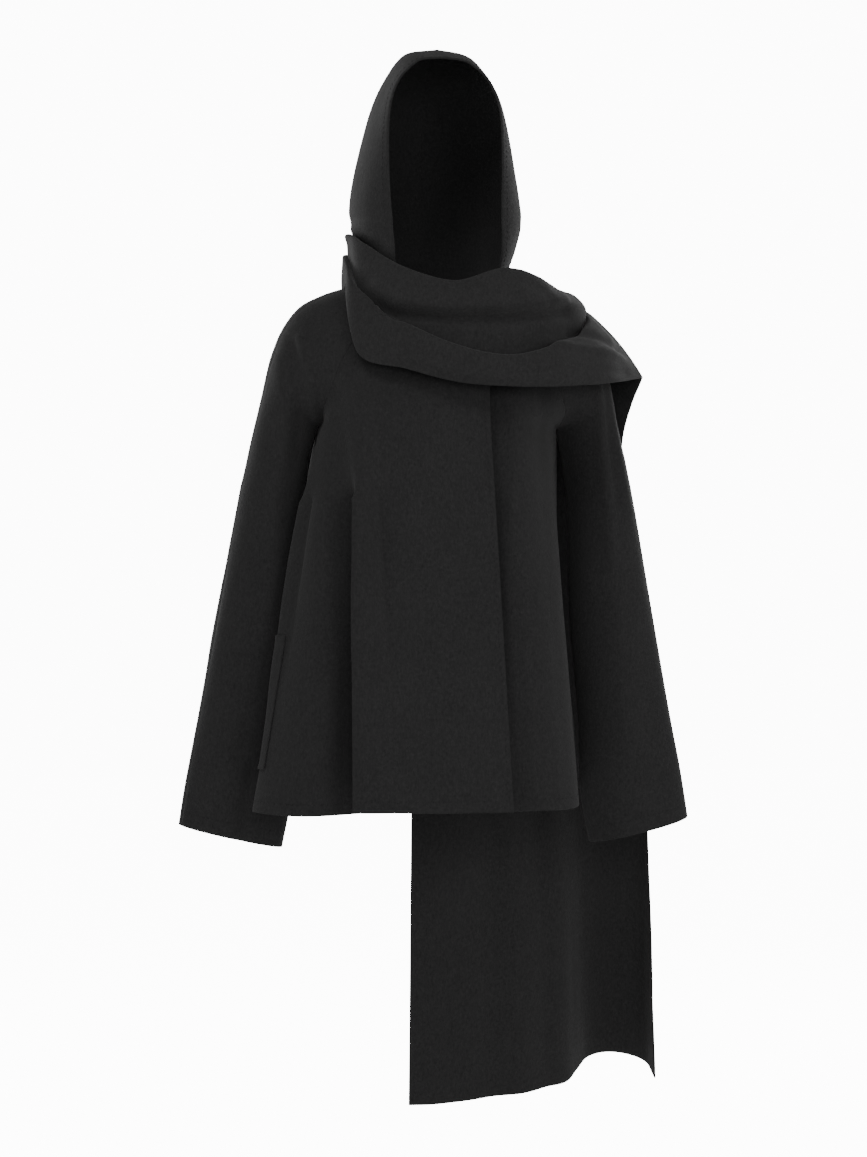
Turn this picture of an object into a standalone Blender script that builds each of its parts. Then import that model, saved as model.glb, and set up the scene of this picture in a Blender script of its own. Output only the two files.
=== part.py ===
"""Hooded scarf coat of felted wool, hollow and in its worn form.

Metres, +Z up, front towards -Y, the wearer's left at +X.  The origin is the centre of the
neck's base, where the wearer's neck and shoulders hold the coat up.

Every cut piece is a sheet of points, worked out from the tables below, and a second sheet
one wall inside it.  Neighbouring pieces stop a seam gap apart.
"""

import math

import bmesh
import bpy
from mathutils import Vector

MM = 0.001
WALL = 2.6 * MM
SEAM_GAP = 0.35 * MM
INNER_STEP = 0.6 * MM
COAT_NAME = "scarf_coat"

# The neckline, an oval that is lower in front.
NECK_HALF_WIDTH = 78 * MM
NECK_FRONT = -119 * MM
NECK_BACK = 88 * MM
NECK_FRONT_HEIGHT = -50 * MM
NECK_BACK_HEIGHT = 15 * MM
FRONT_SEAM_DEGREES = 64
BACK_SEAM_DEGREES = 126

# Centre front and centre back lean outwards as they go down.
FRONT_LEAN = 0.135
FRONT_AT_ORIGIN = -112 * MM
CHEST_HEIGHT = -180 * MM
BACK_CHEST = 122 * MM
CLOSURE_CHEST = 46 * MM
UNDERLAP_EDGE = -12 * MM
UNDERLAP_DEPTH = 13 * MM

# The overarm seam lies a little in front of the sleeve's outer edge.
OVERARM_DEGREES = 15
UNDERARM = 0.30
FIRST_ARCH = 0.05

# Sleeve sections in millimetres, from the neck to the cuff, for the wearer's left.  Each is
# an arc about a middle, through the outermost point, open towards the body above the
# underarm.  Below it the arc is a whole turn.
SLEEVE = [
    dict(along=0.05, out_x=116, out_z=-7, mid_x=90, mid_z=-76, mid_y=2, deep=86, turn=72),
    dict(along=0.10, out_x=146, out_z=-17, mid_x=105, mid_z=-120, mid_y=2, deep=88, turn=72),
    dict(along=0.15, out_x=174, out_z=-32, mid_x=117, mid_z=-148, mid_y=3, deep=86, turn=74),
    dict(along=0.20, out_x=197, out_z=-62, mid_x=147, mid_z=-139, mid_y=5, deep=76, turn=94),
    dict(along=0.25, out_x=213, out_z=-106, mid_x=170, mid_z=-146, mid_y=9, deep=68, turn=118),
    dict(along=0.28, out_x=220, out_z=-136, mid_x=182, mid_z=-158, mid_y=12, deep=65, turn=152),
    dict(along=0.30, out_x=226, out_z=-160, mid_x=189, mid_z=-171, mid_y=14, deep=62, turn=180),
    dict(along=0.40, out_x=247, out_z=-252, mid_x=207, mid_z=-260, mid_y=18, deep=60, turn=180),
    dict(along=0.60, out_x=273, out_z=-392, mid_x=222, mid_z=-402, mid_y=20, deep=55, turn=180),
    dict(along=0.80, out_x=298, out_z=-530, mid_x=240, mid_z=-541, mid_y=20, deep=48, turn=180),
    dict(along=0.92, out_x=314, out_z=-614, mid_x=249, mid_z=-627, mid_y=19, deep=42, turn=180),
    dict(along=1.00, out_x=323, out_z=-671, mid_x=259, mid_z=-686, mid_y=18, deep=39, turn=180),
]

# Folds at the hem in millimetres.  share is the fold's place across the panel at the chest.
RIGHT_FRONT_FOLDS = [
    dict(share=0.00, x=-168, y=22, z=-640),
    dict(share=0.04, x=-184, y=-18, z=-642),
    dict(share=0.09, x=-216, y=-50, z=-644),
    dict(share=0.14, x=-234, y=-78, z=-645),
    dict(share=0.18, x=-224, y=-110, z=-645),
    dict(share=0.22, x=-192, y=-143, z=-645),
    dict(share=0.26, x=-157, y=-149, z=-645),
    dict(share=0.29, x=-120, y=-133, z=-645),
    dict(share=0.31, x=-93, y=-128, z=-644),
    dict(share=0.33, x=-87, y=-154, z=-641),
    dict(share=0.355, x=-106, y=-178, z=-638),
    dict(share=0.375, x=-124, y=-190, z=-637),
    dict(share=0.40, x=-114, y=-198, z=-637),
    dict(share=0.50, x=-74, y=-201, z=-637),
    dict(share=0.74, x=-10, y=-202, z=-638),
    dict(share=1.00, x=63, y=-200, z=-638),
]
LEFT_FRONT_FOLDS = [
    dict(share=0.00, x=160, y=24, z=-640),
    dict(share=0.06, x=157, y=0, z=-639),
    dict(share=0.12, x=154, y=-38, z=-638),
    dict(share=0.18, x=160, y=-86, z=-638),
    dict(share=0.24, x=155, y=-132, z=-638),
    dict(share=0.31, x=142, y=-165, z=-638),
    dict(share=0.38, x=122, y=-182, z=-638),
    dict(share=0.50, x=94, y=-188, z=-638),
    dict(share=0.70, x=48, y=-185, z=-638),
    dict(share=1.00, x=-12, y=-183, z=-638),
]
BACK_FOLDS = [
    dict(share=0.00, x=-168, y=22, z=-640),
    dict(share=0.05, x=-184, y=60, z=-640),
    dict(share=0.11, x=-212, y=90, z=-640),
    dict(share=0.17, x=-198, y=130, z=-640),
    dict(share=0.25, x=-160, y=154, z=-640),
    dict(share=0.33, x=-118, y=158, z=-640),
    dict(share=0.42, x=-62, y=174, z=-640),
    dict(share=0.50, x=-4, y=182, z=-640),
    dict(share=0.58, x=50, y=176, z=-640),
    dict(share=0.67, x=98, y=162, z=-640),
    dict(share=0.75, x=148, y=158, z=-640),
    dict(share=0.83, x=190, y=136, z=-640),
    dict(share=0.89, x=205, y=94, z=-640),
    dict(share=0.95, x=182, y=58, z=-640),
    dict(share=1.00, x=160, y=24, z=-640),
]

# Hood sections in millimetres, from just above the neck to the crown: the opening's edge,
# the widest place, how much fuller the wearer's left half is, and the centre seam at the back.
HOOD = [
    dict(up=0.10, edge_x=66, edge_y=-112, edge_z=26, wide=86, fuller=9, seam_y=97, seam_z=36),
    dict(up=0.17, edge_x=67, edge_y=-113, edge_z=52, wide=105, fuller=-1, seam_y=105, seam_z=62),
    dict(up=0.20, edge_x=67, edge_y=-113, edge_z=63, wide=105, fuller=1, seam_y=109, seam_z=73),
    dict(up=0.24, edge_x=68, edge_y=-112, edge_z=78, wide=107, fuller=0, seam_y=114, seam_z=88),
    dict(up=0.38, edge_x=70, edge_y=-107, edge_z=126, wide=100, fuller=0, seam_y=122, seam_z=138),
    dict(up=0.54, edge_x=70, edge_y=-100, edge_z=178, wide=87, fuller=2, seam_y=120, seam_z=194),
    dict(up=0.68, edge_x=65, edge_y=-94, edge_z=213, wide=74, fuller=3, seam_y=106, seam_z=240),
    dict(up=0.80, edge_x=54, edge_y=-89, edge_z=238, wide=59, fuller=3, seam_y=82, seam_z=269),
    dict(up=0.90, edge_x=36, edge_y=-86, edge_z=256, wide=45, fuller=1, seam_y=48, seam_z=285),
    dict(up=0.96, edge_x=23, edge_y=-85, edge_z=262, wide=30, fuller=0, seam_y=24, seam_z=290),
    dict(up=1.00, edge_x=0, edge_y=-85, edge_z=264, wide=0, fuller=0, seam_y=6, seam_z=292),
]

# The wound scarf, in millimetres, from behind the wearer's right ear to the left shoulder.
UPPER_SCARF = [
    dict(in_x=-28, in_y=92, in_z=24, top_x=-35, top_y=112, top_z=42,
         dip_x=-41, dip_y=121, dip_z=24, roll=2),
    dict(in_x=-68, in_y=54, in_z=26, top_x=-87, top_y=68, top_z=54,
         dip_x=-94, dip_y=74, dip_z=32, roll=2),
    dict(in_x=-84, in_y=11, in_z=32, top_x=-109, top_y=10, top_z=60,
         dip_x=-110, dip_y=8, dip_z=39, roll=1),
    dict(in_x=-84.5, in_y=-30, in_z=22, top_x=-108, top_y=-33, top_z=53,
         dip_x=-111, dip_y=-36, dip_z=23, roll=2),
    dict(in_x=-85, in_y=-66, in_z=6, top_x=-97, top_y=-72, top_z=36,
         dip_x=-100, dip_y=-80, dip_z=-14, roll=5),
    dict(in_x=-50, in_y=-110, in_z=-22, top_x=-56, top_y=-121, top_z=2,
         dip_x=-59, dip_y=-124, dip_z=-54, roll=11),
    dict(in_x=2, in_y=-128, in_z=-40, top_x=1, top_y=-141, top_z=-15,
         dip_x=1, dip_y=-144, dip_z=-62, roll=11),
    dict(in_x=54, in_y=-130, in_z=-25, top_x=59, top_y=-144, top_z=0,
         dip_x=61, dip_y=-146, dip_z=-61, roll=11),
    dict(in_x=92, in_y=-104, in_z=-20, top_x=105, top_y=-118, top_z=-5,
         dip_x=114, dip_y=-129, dip_z=-49, roll=9),
    dict(in_x=108, in_y=-60, in_z=-4, top_x=140, top_y=-66, top_z=-11,
         dip_x=156, dip_y=-84, dip_z=-38, roll=6),
    dict(in_x=108, in_y=-18, in_z=5, top_x=166, top_y=-20, top_z=-10,
         dip_x=184, dip_y=-32, dip_z=-31, roll=4),
    dict(in_x=104, in_y=22, in_z=8, top_x=172, top_y=22, top_z=-9,
         dip_x=188, dip_y=22, dip_z=-23, roll=2),
]
LOWER_SCARF = [
    dict(edge_x=-44, edge_y=131, edge_z=20, low_x=-46, low_y=136, low_z=-26, belly=3, tuck=4),
    dict(edge_x=-101, edge_y=82, edge_z=28, low_x=-105, low_y=87, low_z=-24, belly=3, tuck=4),
    dict(edge_x=-116, edge_y=8, edge_z=34, low_x=-113, low_y=8, low_z=-1, belly=1, tuck=3),
    dict(edge_x=-117, edge_y=-42, edge_z=17, low_x=-117, low_y=-56, low_z=-22, belly=2, tuck=5),
    dict(edge_x=-110, edge_y=-88, edge_z=-16, low_x=-109, low_y=-110, low_z=-100, belly=6, tuck=14),
    dict(edge_x=-62, edge_y=-140, edge_z=-62, low_x=-55, low_y=-143, low_z=-120, belly=7, tuck=22),
    dict(edge_x=1, edge_y=-163, edge_z=-92, low_x=2, low_y=-160, low_z=-136, belly=8, tuck=40),
    dict(edge_x=62, edge_y=-167, edge_z=-104, low_x=60, low_y=-166, low_z=-141, belly=7, tuck=53),
    dict(edge_x=114, edge_y=-152, edge_z=-92, low_x=118, low_y=-158, low_z=-140, belly=8, tuck=54),
    dict(edge_x=155, edge_y=-112, edge_z=-72, low_x=158, low_y=-138, low_z=-136, belly=9, tuck=40),
    dict(edge_x=186, edge_y=-58, edge_z=-52, low_x=206, low_y=-98, low_z=-128, belly=9, tuck=16),
    dict(edge_x=200, edge_y=18, edge_z=-30, low_x=262, low_y=-12, low_z=-113, belly=6, tuck=3),
]

# The scarf over the shoulder and down the back, in millimetres.
SHOULDER_SCARF = [
    dict(in_x=104, in_y=26, in_z=8, out_x=262, out_y=-8, out_z=-113, rise=37),
    dict(in_x=88, in_y=70, in_z=0, out_x=263, out_y=52, out_z=-142, rise=32),
    dict(in_x=56, in_y=112, in_z=-24, out_x=264, out_y=108, out_z=-184, rise=28),
    dict(in_x=22, in_y=142, in_z=-66, out_x=272, out_y=146, out_z=-244, rise=22),
    dict(in_x=-6, in_y=160, in_z=-124, out_x=301, out_y=170, out_z=-316, rise=14),
]
TAIL_FOLDS = [
    dict(share=0.00, x=-8, y=208, z=-1077),
    dict(share=0.14, x=40, y=212, z=-1077),
    dict(share=0.28, x=92, y=219, z=-1075),
    dict(share=0.42, x=145, y=228, z=-1071),
    dict(share=0.51, x=190, y=238, z=-1067),
    dict(share=0.57, x=218, y=252, z=-1063),
    dict(share=0.62, x=236, y=276, z=-1053),
    dict(share=0.69, x=258, y=306, z=-1043),
    dict(share=0.78, x=290, y=322, z=-1040),
    dict(share=0.87, x=323, y=318, z=-1044),
    dict(share=0.95, x=345, y=298, z=-1052),
    dict(share=1.00, x=348, y=264, z=-1066),
]

# Parts of the hanging scarf's length: over the shoulder, and where its start is eased in.
SHOULDER_PART = 0.30
START_PART = 0.45

# Side pockets: a welt stands on the front panel beside the side seam.
POCKET_TOP = 0.665
POCKET_BOTTOM = 0.92
RIGHT_POCKET_SHARES = (0.115, 0.14, 0.170)
LEFT_POCKET_SHARES = (0.065, 0.09, 0.115)
POCKET_WALL = 1.8 * MM
POCKET_STAND = 0.8 * MM

# The wearer's arms and head lean a little to one side.
ARM_SWAY = 4 * MM
HEAD_SWAY = -3 * MM

# Where the hood's opening starts on the neckline, and how far it stands over the panels.
HOOD_NECK_DEGREES = 52
HOOD_STAND = 0.77 * MM
HOOD_LIFT = 6 * MM

# Half the thickness of the scarf's crest, and the smallest depth of a panel's curve.
CREST_HALF = 3.5 * MM
FRONT_CURVE = 30 * MM
BACK_CURVE = 25 * MM

# How far a sheet is read on either side of a point to find its normal there.
SOONER_SCALE = 27 / 4  # makes the most of down * (1 - down) ** 2 come to 1
NORMAL_STEP = 0.004

# Grid rows.  The panels and the sleeves share the ones above the underarm, along their seams.
ARCH_ROWS = (0, 0.05, 0.09, 0.13, 0.17, 0.21, 0.245, 0.27, 0.287, 0.30)
RAGLAN_PART = 0.26
SKIRT_STEPS = 9
ARM_STEPS = 9

# How far the panels' rows turn at the underarm, in degrees.
RIGHT_FRONT_TURN = 82
LEFT_FRONT_TURN = 46
RIGHT_BACK_TURN = 88
LEFT_BACK_TURN = 74

# Folds that form soon below the underarm: how much sooner, and over which shares.
BACK_SOONER = [dict(most=0.24, first=0.0, last=0.22)]
RIGHT_FRONT_SOONER = [dict(most=0.18, first=0.0, last=0.18), dict(most=0.36, first=0.18, last=0.50)]

WOOL = (0.0125, 0.0122, 0.0124, 1.0)


def blend(a, b, t):
    return a + (b - a) * t


def ease(t):
    t = min(1.0, max(0.0, t))
    return t * t * (3 - 2 * t)


def read_table(table, key, at):
    """All columns at a place between rows, on a smooth curve through the rows."""
    last = len(table) - 2
    i = 0
    while i < last and at > table[i + 1][key]:
        i += 1
    here, there = table[i], table[i + 1]
    before, after = table[max(i - 1, 0)], table[min(i + 2, last + 1)]
    span = there[key] - here[key]
    t = min(1.0, max(0.0, (at - here[key]) / span))
    values = {}
    for column in here:
        a, b = here[column], there[column]
        slope_a = (b - before[column]) / (there[key] - before[key]) * span
        slope_b = (after[column] - a) / (after[key] - here[key]) * span
        values[column] = (
            a * (2 * t**3 - 3 * t**2 + 1)
            + slope_a * (t**3 - 2 * t**2 + t)
            + b * (3 * t**2 - 2 * t**3)
            + slope_b * (t**3 - t**2)
        )
    return values


def read_stations(table, at):
    """read_table on rows that are evenly spaced from 0 to 1."""
    step = 1 / (len(table) - 1)
    return read_table([dict(row, at=i * step) for i, row in enumerate(table)], "at", at)


def place(row, name):
    return Vector((row[name + "_x"], row[name + "_y"], row[name + "_z"])) * MM


def hermite(a, b, slope_a, slope_b, t):
    return (
        a * (2 * t**3 - 3 * t**2 + 1)
        + slope_a * (t**3 - 2 * t**2 + t)
        + b * (3 * t**2 - 2 * t**3)
        + slope_b * (t**3 - t**2)
    )


def neck_point(degrees):
    """The neckline: 0 at centre front, positive towards +X, 180 at centre back."""
    angle = math.radians(degrees)
    middle = (NECK_FRONT + NECK_BACK) / 2
    deep = (NECK_BACK - NECK_FRONT) / 2
    rise = (NECK_BACK_HEIGHT - NECK_FRONT_HEIGHT) * abs(math.sin(angle / 2))
    return Vector((
        NECK_HALF_WIDTH * math.sin(angle),
        middle - deep * math.cos(angle),
        NECK_FRONT_HEIGHT + rise,
    ))


def front_depth(height):
    return FRONT_AT_ORIGIN + FRONT_LEAN * height


def sleeve_row(along):
    row = read_table(SLEEVE, "along", max(along, FIRST_ARCH))
    row["turn"] = min(row["turn"], 180)
    return row


def sleeve_ring(along, fraction, side):
    """A sleeve section: fraction runs from 1 at the front seam to -1 at the back seam."""
    row = sleeve_row(along)
    angle = math.radians(row["turn"]) * fraction
    out = Vector((row["out_x"] - row["mid_x"], 0, row["out_z"] - row["mid_z"])) * MM
    front = Vector((0, -row["deep"] * MM, 0))
    middle = Vector((row["mid_x"], row["mid_y"], row["mid_z"])) * MM
    point = middle + out * math.cos(angle) + front * math.sin(angle)
    if along < FIRST_ARCH:
        shoulder = (FRONT_SEAM_DEGREES + BACK_SEAM_DEGREES) / 2
        reach = (BACK_SEAM_DEGREES - FRONT_SEAM_DEGREES) / 2
        point = neck_point(shoulder - reach * fraction).lerp(point, along / FIRST_ARCH)
    point.x = side * point.x + ARM_SWAY * ease(along / UNDERARM)
    return point


def front_row(raglan, share, side, edge_x):
    """A front panel's row above the underarm, from the raglan seam to the front edge."""
    along = raglan * UNDERARM
    start = sleeve_ring(max(along, FIRST_ARCH), 1, side)
    height = blend(NECK_FRONT_HEIGHT - 20 * MM, CHEST_HEIGHT, raglan)
    end = Vector((edge_x, front_depth(height), height))
    fullness = RIGHT_FRONT_TURN if side < 0 else LEFT_FRONT_TURN
    forward = math.radians(18 + fullness * ease((raglan - 0.3) / 0.7))
    across = abs(end.x - start.x)
    deep = max(abs(end.y - start.y), FRONT_CURVE)
    slope_a = Vector((-side * math.cos(forward) * across * 1.5, -math.sin(forward) * deep * 3.5, 0))
    slope_b = Vector((-side * across * 1.4, 0, 0))
    point = hermite(start, end, slope_a, slope_b, share)
    if along < FIRST_ARCH:
        edge_degrees = math.degrees(math.asin(edge_x / NECK_HALF_WIDTH))
        collar = neck_point(blend(side * FRONT_SEAM_DEGREES, edge_degrees, share))
        point = collar.lerp(point, along / FIRST_ARCH)
    return point


def back_row(raglan, share):
    """The back panel's row above the underarm, from the right seam to the left seam."""
    along = raglan * UNDERARM
    side = -1 if share < 0.5 else 1
    start = sleeve_ring(max(along, FIRST_ARCH), -1, side)
    height = blend(-12 * MM, CHEST_HEIGHT, raglan)
    end = Vector((0, blend(105 * MM, BACK_CHEST, raglan), height))
    fullness = RIGHT_BACK_TURN if side < 0 else LEFT_BACK_TURN
    turn = math.radians(14 + fullness * ease((raglan - 0.45) / 0.55))
    across = abs(end.x - start.x)
    deep = max(abs(end.y - start.y), BACK_CURVE)
    slope_a = Vector((-side * math.cos(turn) * across * 1.5, math.sin(turn) * deep * 2.4, 0))
    slope_b = Vector((-side * across * 1.4, 0, 0))
    inward = 1 - abs(share - 0.5) * 2
    point = hermite(start, end, slope_a, slope_b, inward)
    if along < FIRST_ARCH:
        collar = neck_point(blend(side * BACK_SEAM_DEGREES, side * 180, inward))
        point = collar.lerp(point, along / FIRST_ARCH)
    return point


def skirt_point(chest, folds, share, down, sooner=()):
    """Below the chest: from the chest row out to the folds of the hem.

    A fold that forms sooner is most ahead of the others a third of the way down.
    """
    row = read_table(folds, "share", share)
    hem = Vector((row["x"], row["y"], row["z"])) * MM
    point = chest.lerp(hem, down)
    for fold in sooner:
        if fold["first"] < share < fold["last"]:
            place_in_fold = (share - fold["first"]) / (fold["last"] - fold["first"])
            ahead = fold["most"] * SOONER_SCALE * down * (1 - down) ** 2 * math.sin(math.pi * place_in_fold)
            folded = chest.lerp(hem, min(1.0, down + ahead))
            point.x, point.y = folded.x, folded.y
    return point


def split_height(v):
    """Where a row lies: up to 1 in the raglan part, then 0 to 1 from the underarm to the hem."""
    if v <= RAGLAN_PART:
        return v / RAGLAN_PART, 0.0
    return 1.0, (v - RAGLAN_PART) / (1 - RAGLAN_PART)


def right_front(share, v):
    raglan, down = split_height(v)
    point = front_row(raglan, share, -1, CLOSURE_CHEST)
    return skirt_point(point, RIGHT_FRONT_FOLDS, share, down, RIGHT_FRONT_SOONER) if down else point


def left_front(share, v):
    raglan, down = split_height(v)
    point = front_row(raglan, share, 1, UNDERLAP_EDGE)
    point.y += UNDERLAP_DEPTH * ease((CLOSURE_CHEST + 26 * MM - point.x) / (20 * MM))
    return skirt_point(point, LEFT_FRONT_FOLDS, share, down) if down else point


def back(share, v):
    raglan, down = split_height(v)
    point = back_row(raglan, share)
    return skirt_point(point, BACK_FOLDS, share, down, BACK_SOONER) if down else point


def sleeve_front(side):
    def at(share, v):
        return sleeve_ring(v, blend(OVERARM_DEGREES / sleeve_row(v)["turn"], 1, share), side)
    return at


def sleeve_back(side):
    def at(share, v):
        return sleeve_ring(v, blend(OVERARM_DEGREES / sleeve_row(v)["turn"], -1, share), side)
    return at


def hood_half(side):
    """Half of the hood, from the opening's edge round to the centre seam."""
    first = HOOD[0]["up"]

    def at(share, v):
        if v > 1:
            mirrored = at(share, 2 - v)
            mirrored.x = 2 * HEAD_SWAY - mirrored.x
            return mirrored
        row = read_table(HOOD, "up", max(v, first))
        edge = place(row, "edge")
        wide = (row["wide"] + (row["fuller"] if side > 0 else 0)) * MM
        seam_y, seam_z = row["seam_y"] * MM, row["seam_z"] * MM
        start = math.asin(min(1.0, edge.x / wide)) if wide > 1e-6 else math.pi / 2 * 0.9
        angle = blend(start, math.pi, share)
        x = wide * math.sin(angle)
        middle = blend(edge.y, seam_y, 0.45)
        if angle < math.pi / 2:
            y = blend(edge.y, middle, 1 - math.cos(angle) / max(math.cos(start), 1e-6))
        else:
            y = blend(middle, seam_y, -math.cos(angle))
        lift = math.sin((y - edge.y) / (seam_y - edge.y) * math.pi) * HOOD_LIFT
        z = blend(edge.z, seam_z, (y - edge.y) / (seam_y - edge.y)) + lift
        point = Vector((x, y, z))
        if v < first:
            neck = neck_point(blend(HOOD_NECK_DEGREES, 180, share))
            neck.z += HOOD_STAND
            point = neck.lerp(point, v / first)
        point.x = side * point.x + HEAD_SWAY * ease(v / 0.3)
        return point
    return at


def outward(table, at, name):
    """The level direction out of the wound scarf, square to a line of its table."""
    before = place(read_stations(table, max(at - 0.02, 0)), name)
    after = place(read_stations(table, min(at + 0.02, 1)), name)
    way = after - before
    return Vector((way.y, -way.x, 0)).normalized()


def even_place(points, at):
    """Where on the line through the points a share of its length lies."""
    lengths = [(b - a).length for a, b in zip(points, points[1:])]
    left = at * sum(lengths)
    i = 0
    while i < len(lengths) - 1 and left > lengths[i]:
        left -= lengths[i]
        i += 1
    return (i + left / lengths[i]) / len(lengths)


def smooth_line(points, at):
    """A place on a smooth line through a few points, evenly shared out."""
    count = len(points) - 1
    i = min(int(at * count), count - 1)
    t = at * count - i
    before, after = points[max(i - 1, 0)], points[min(i + 2, count)]
    slope_a = (points[i + 1] - before) / 2
    slope_b = (after - points[i]) / 2
    return hermite(points[i], points[i + 1], slope_a, slope_b, t)


def valley(v):
    """The bottom of the valley, where the upper roll and the lower band meet."""
    row = read_stations(UPPER_SCARF, v)
    return place(row, "dip") - Vector((0, 0, read_stations(LOWER_SCARF, v)["tuck"] * MM))


def upper_section(share, v):
    """The upper roll: up from its hidden edge, over the crest and down into the valley."""
    row = read_stations(UPPER_SCARF, v)
    out = outward(UPPER_SCARF, v, "top")
    inner, top, dip = place(row, "in"), place(row, "top"), place(row, "dip")
    crest = out * CREST_HALF
    below_top = top - Vector((0, 0, MM))
    section = [
        inner,
        inner.lerp(top - crest, 0.55),
        below_top - crest,
        below_top + crest,
        top.lerp(dip, 0.5) + out * row["roll"] * MM,
        dip,
        valley(v),
    ]
    return smooth_line(section, (share + even_place(section, share)) / 2)


def lower_section(share, v):
    """The lower band: out of the valley, over its soft edge and down to its lower edge."""
    row = read_stations(LOWER_SCARF, v)
    out = outward(LOWER_SCARF, v, "edge")
    edge, low = place(row, "edge"), place(row, "low")
    belly = out * row["belly"] * MM
    section = [
        valley(v),
        edge,
        edge.lerp(low, 0.35) + belly,
        edge.lerp(low, 0.7) + belly * 0.8,
        low,
    ]
    return smooth_line(section, even_place(section, share))


def wound_scarf(share, v):
    """The wound stretch: the upper roll up to the middle share, then the lower band."""
    if share <= 0.5:
        return upper_section(share * 2, v)
    return lower_section(share * 2 - 1, v)


def bowed_scarf(share, over):
    """The sheet over the shoulder, bowed up at first and backwards further on."""
    row = read_stations(SHOULDER_SCARF, over)
    bow = math.sin(math.pi * share) * row["rise"] * MM
    backwards = ease(over)
    lift = Vector((0.2 * bow, backwards * bow * 0.6, (1 - backwards) * bow))
    return place(row, "in").lerp(place(row, "out"), share) + lift


def hanging_scarf(share, v):
    """Over the shoulder and down the back, in one sheet, from where the winding ends."""
    over = min(v / SHOULDER_PART, 1.0)
    point = bowed_scarf(share, over)
    if over < START_PART:
        point += (wound_scarf(share, 1) - bowed_scarf(share, 0)) * (1 - ease(over / START_PART))
    if v <= SHOULDER_PART:
        return point
    down = (v - SHOULDER_PART) / (1 - SHOULDER_PART)
    hem = read_table(TAIL_FOLDS, "share", share)
    return point.lerp(Vector((hem["x"], hem["y"], hem["z"])) * MM, down)


def scarf_stretch(first_share, last_share, first_v, last_v):
    """A stretch of the whole scarf: up to 1 it is wound, and from 1 to 2 it hangs."""
    def at(u, v):
        share = blend(first_share, last_share, min(1.0, max(0.0, u)))
        along = blend(first_v, last_v, v)
        if along <= 1:
            return wound_scarf(share, max(along, 0.0))
        return hanging_scarf(share, min(along - 1, 1.0))
    return at


def through(values):
    """Turns an even 0 to 1 into the given places in turn."""
    def at(t):
        steps = t * (len(values) - 1)
        i = min(int(steps), len(values) - 2)
        return blend(values[i], values[i + 1], steps - i)
    return at


def on_grid(surface, shares, rows):
    """A surface read through its own grid of columns and rows."""
    share_at, row_at = through(shares), through(rows)

    def at(u, v):
        return surface(share_at(u), row_at(v))
    return at


def between(values, value):
    """The step before a value, and how far past it the value lies."""
    i = 0
    while i < len(values) - 2 and value > values[i + 1]:
        i += 1
    return i, (value - values[i]) / (values[i + 1] - values[i])


def facet_point(surface, shares, rows, share, v):
    """A point on the flat facets that the panel's grid makes of its surface."""
    i, s = between(shares, share)
    j, t = between(rows, v)
    near = surface(shares[i], rows[j]).lerp(surface(shares[i + 1], rows[j]), s)
    far = surface(shares[i], rows[j + 1]).lerp(surface(shares[i + 1], rows[j + 1]), s)
    return near.lerp(far, t)


def pocket_welt(surface, shares, rows, ends, side):
    """A welt made from the panel's points, moved out by its own wall and its stand."""
    def at(u, v):
        share, down = through(ends)(u), blend(POCKET_TOP, POCKET_BOTTOM, v)
        here = facet_point(surface, shares, rows, share, down)
        across = facet_point(surface, shares, rows, share + NORMAL_STEP, down) - here
        along = facet_point(surface, shares, rows, share, down + NORMAL_STEP) - here
        normal = across.cross(along).normalized() * side
        return here + normal * (POCKET_WALL + POCKET_STAND)
    return at


def shares_of(folds):
    return [fold["share"] for fold in folds]


def body_rows():
    above = [along / UNDERARM * RAGLAN_PART for along in ARCH_ROWS]
    below = [blend(RAGLAN_PART, 1, i / SKIRT_STEPS) for i in range(1, SKIRT_STEPS + 1)]
    return above + below


def arm_rows():
    below = [blend(UNDERARM, 1, i / ARM_STEPS) for i in range(1, ARM_STEPS + 1)]
    return list(ARCH_ROWS) + below


def make_material():
    wool = bpy.data.materials.new("black_wool")
    wool.use_nodes = True
    shader = wool.node_tree.nodes["Principled BSDF"]
    shader.inputs["Base Color"].default_value = WOOL
    shader.inputs["Roughness"].default_value = 0.95
    shader.inputs["Metallic"].default_value = 0.0
    return wool


def wall_direction(surface, u, v):
    """The surface's normal between its two sides, so that pieces share it at a seam."""
    step = NORMAL_STEP
    here = surface(u, v)
    across = (surface(u + step, v) - here).normalized() + (here - surface(u - step, v)).normalized()
    along = (surface(u, v + step) - here).normalized() + (here - surface(u, v - step)).normalized()
    normal = across.cross(along)
    if normal.length < 0.3:
        return wall_direction(surface, blend(u, 0.5, 0.02), blend(v, 0.5, 0.02))
    return normal.normalized()


def step_in(points, i, j, last_i, last_j):
    """The way into the cloth from a point on its edge, square to that edge."""
    ways = []
    for edge, last, step in ((i, last_i, (1, 0)), (j, last_j, (0, 1))):
        if edge not in (0, last):
            continue
        sign = 1 if edge == 0 else -1
        way = points[i + sign * step[0]][j + sign * step[1]] - points[i][j]
        a = points[max(i - step[1], 0)][max(j - step[0], 0)]
        b = points[min(i + step[1], last_i)][min(j + step[0], last_j)]
        edge_way = (b - a).normalized()
        square_way = way - edge_way * way.dot(edge_way)
        if square_way.length > 0.35 * way.length:
            ways.append(square_way.normalized())
    if not ways:
        deeper = points[1 if i == 0 else last_i - 1][1 if j == 0 else last_j - 1]
        return (deeper - points[i][j]).normalized() if i in (0, last_i) and j in (0, last_j) else Vector()
    return sum(ways, Vector())


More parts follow.
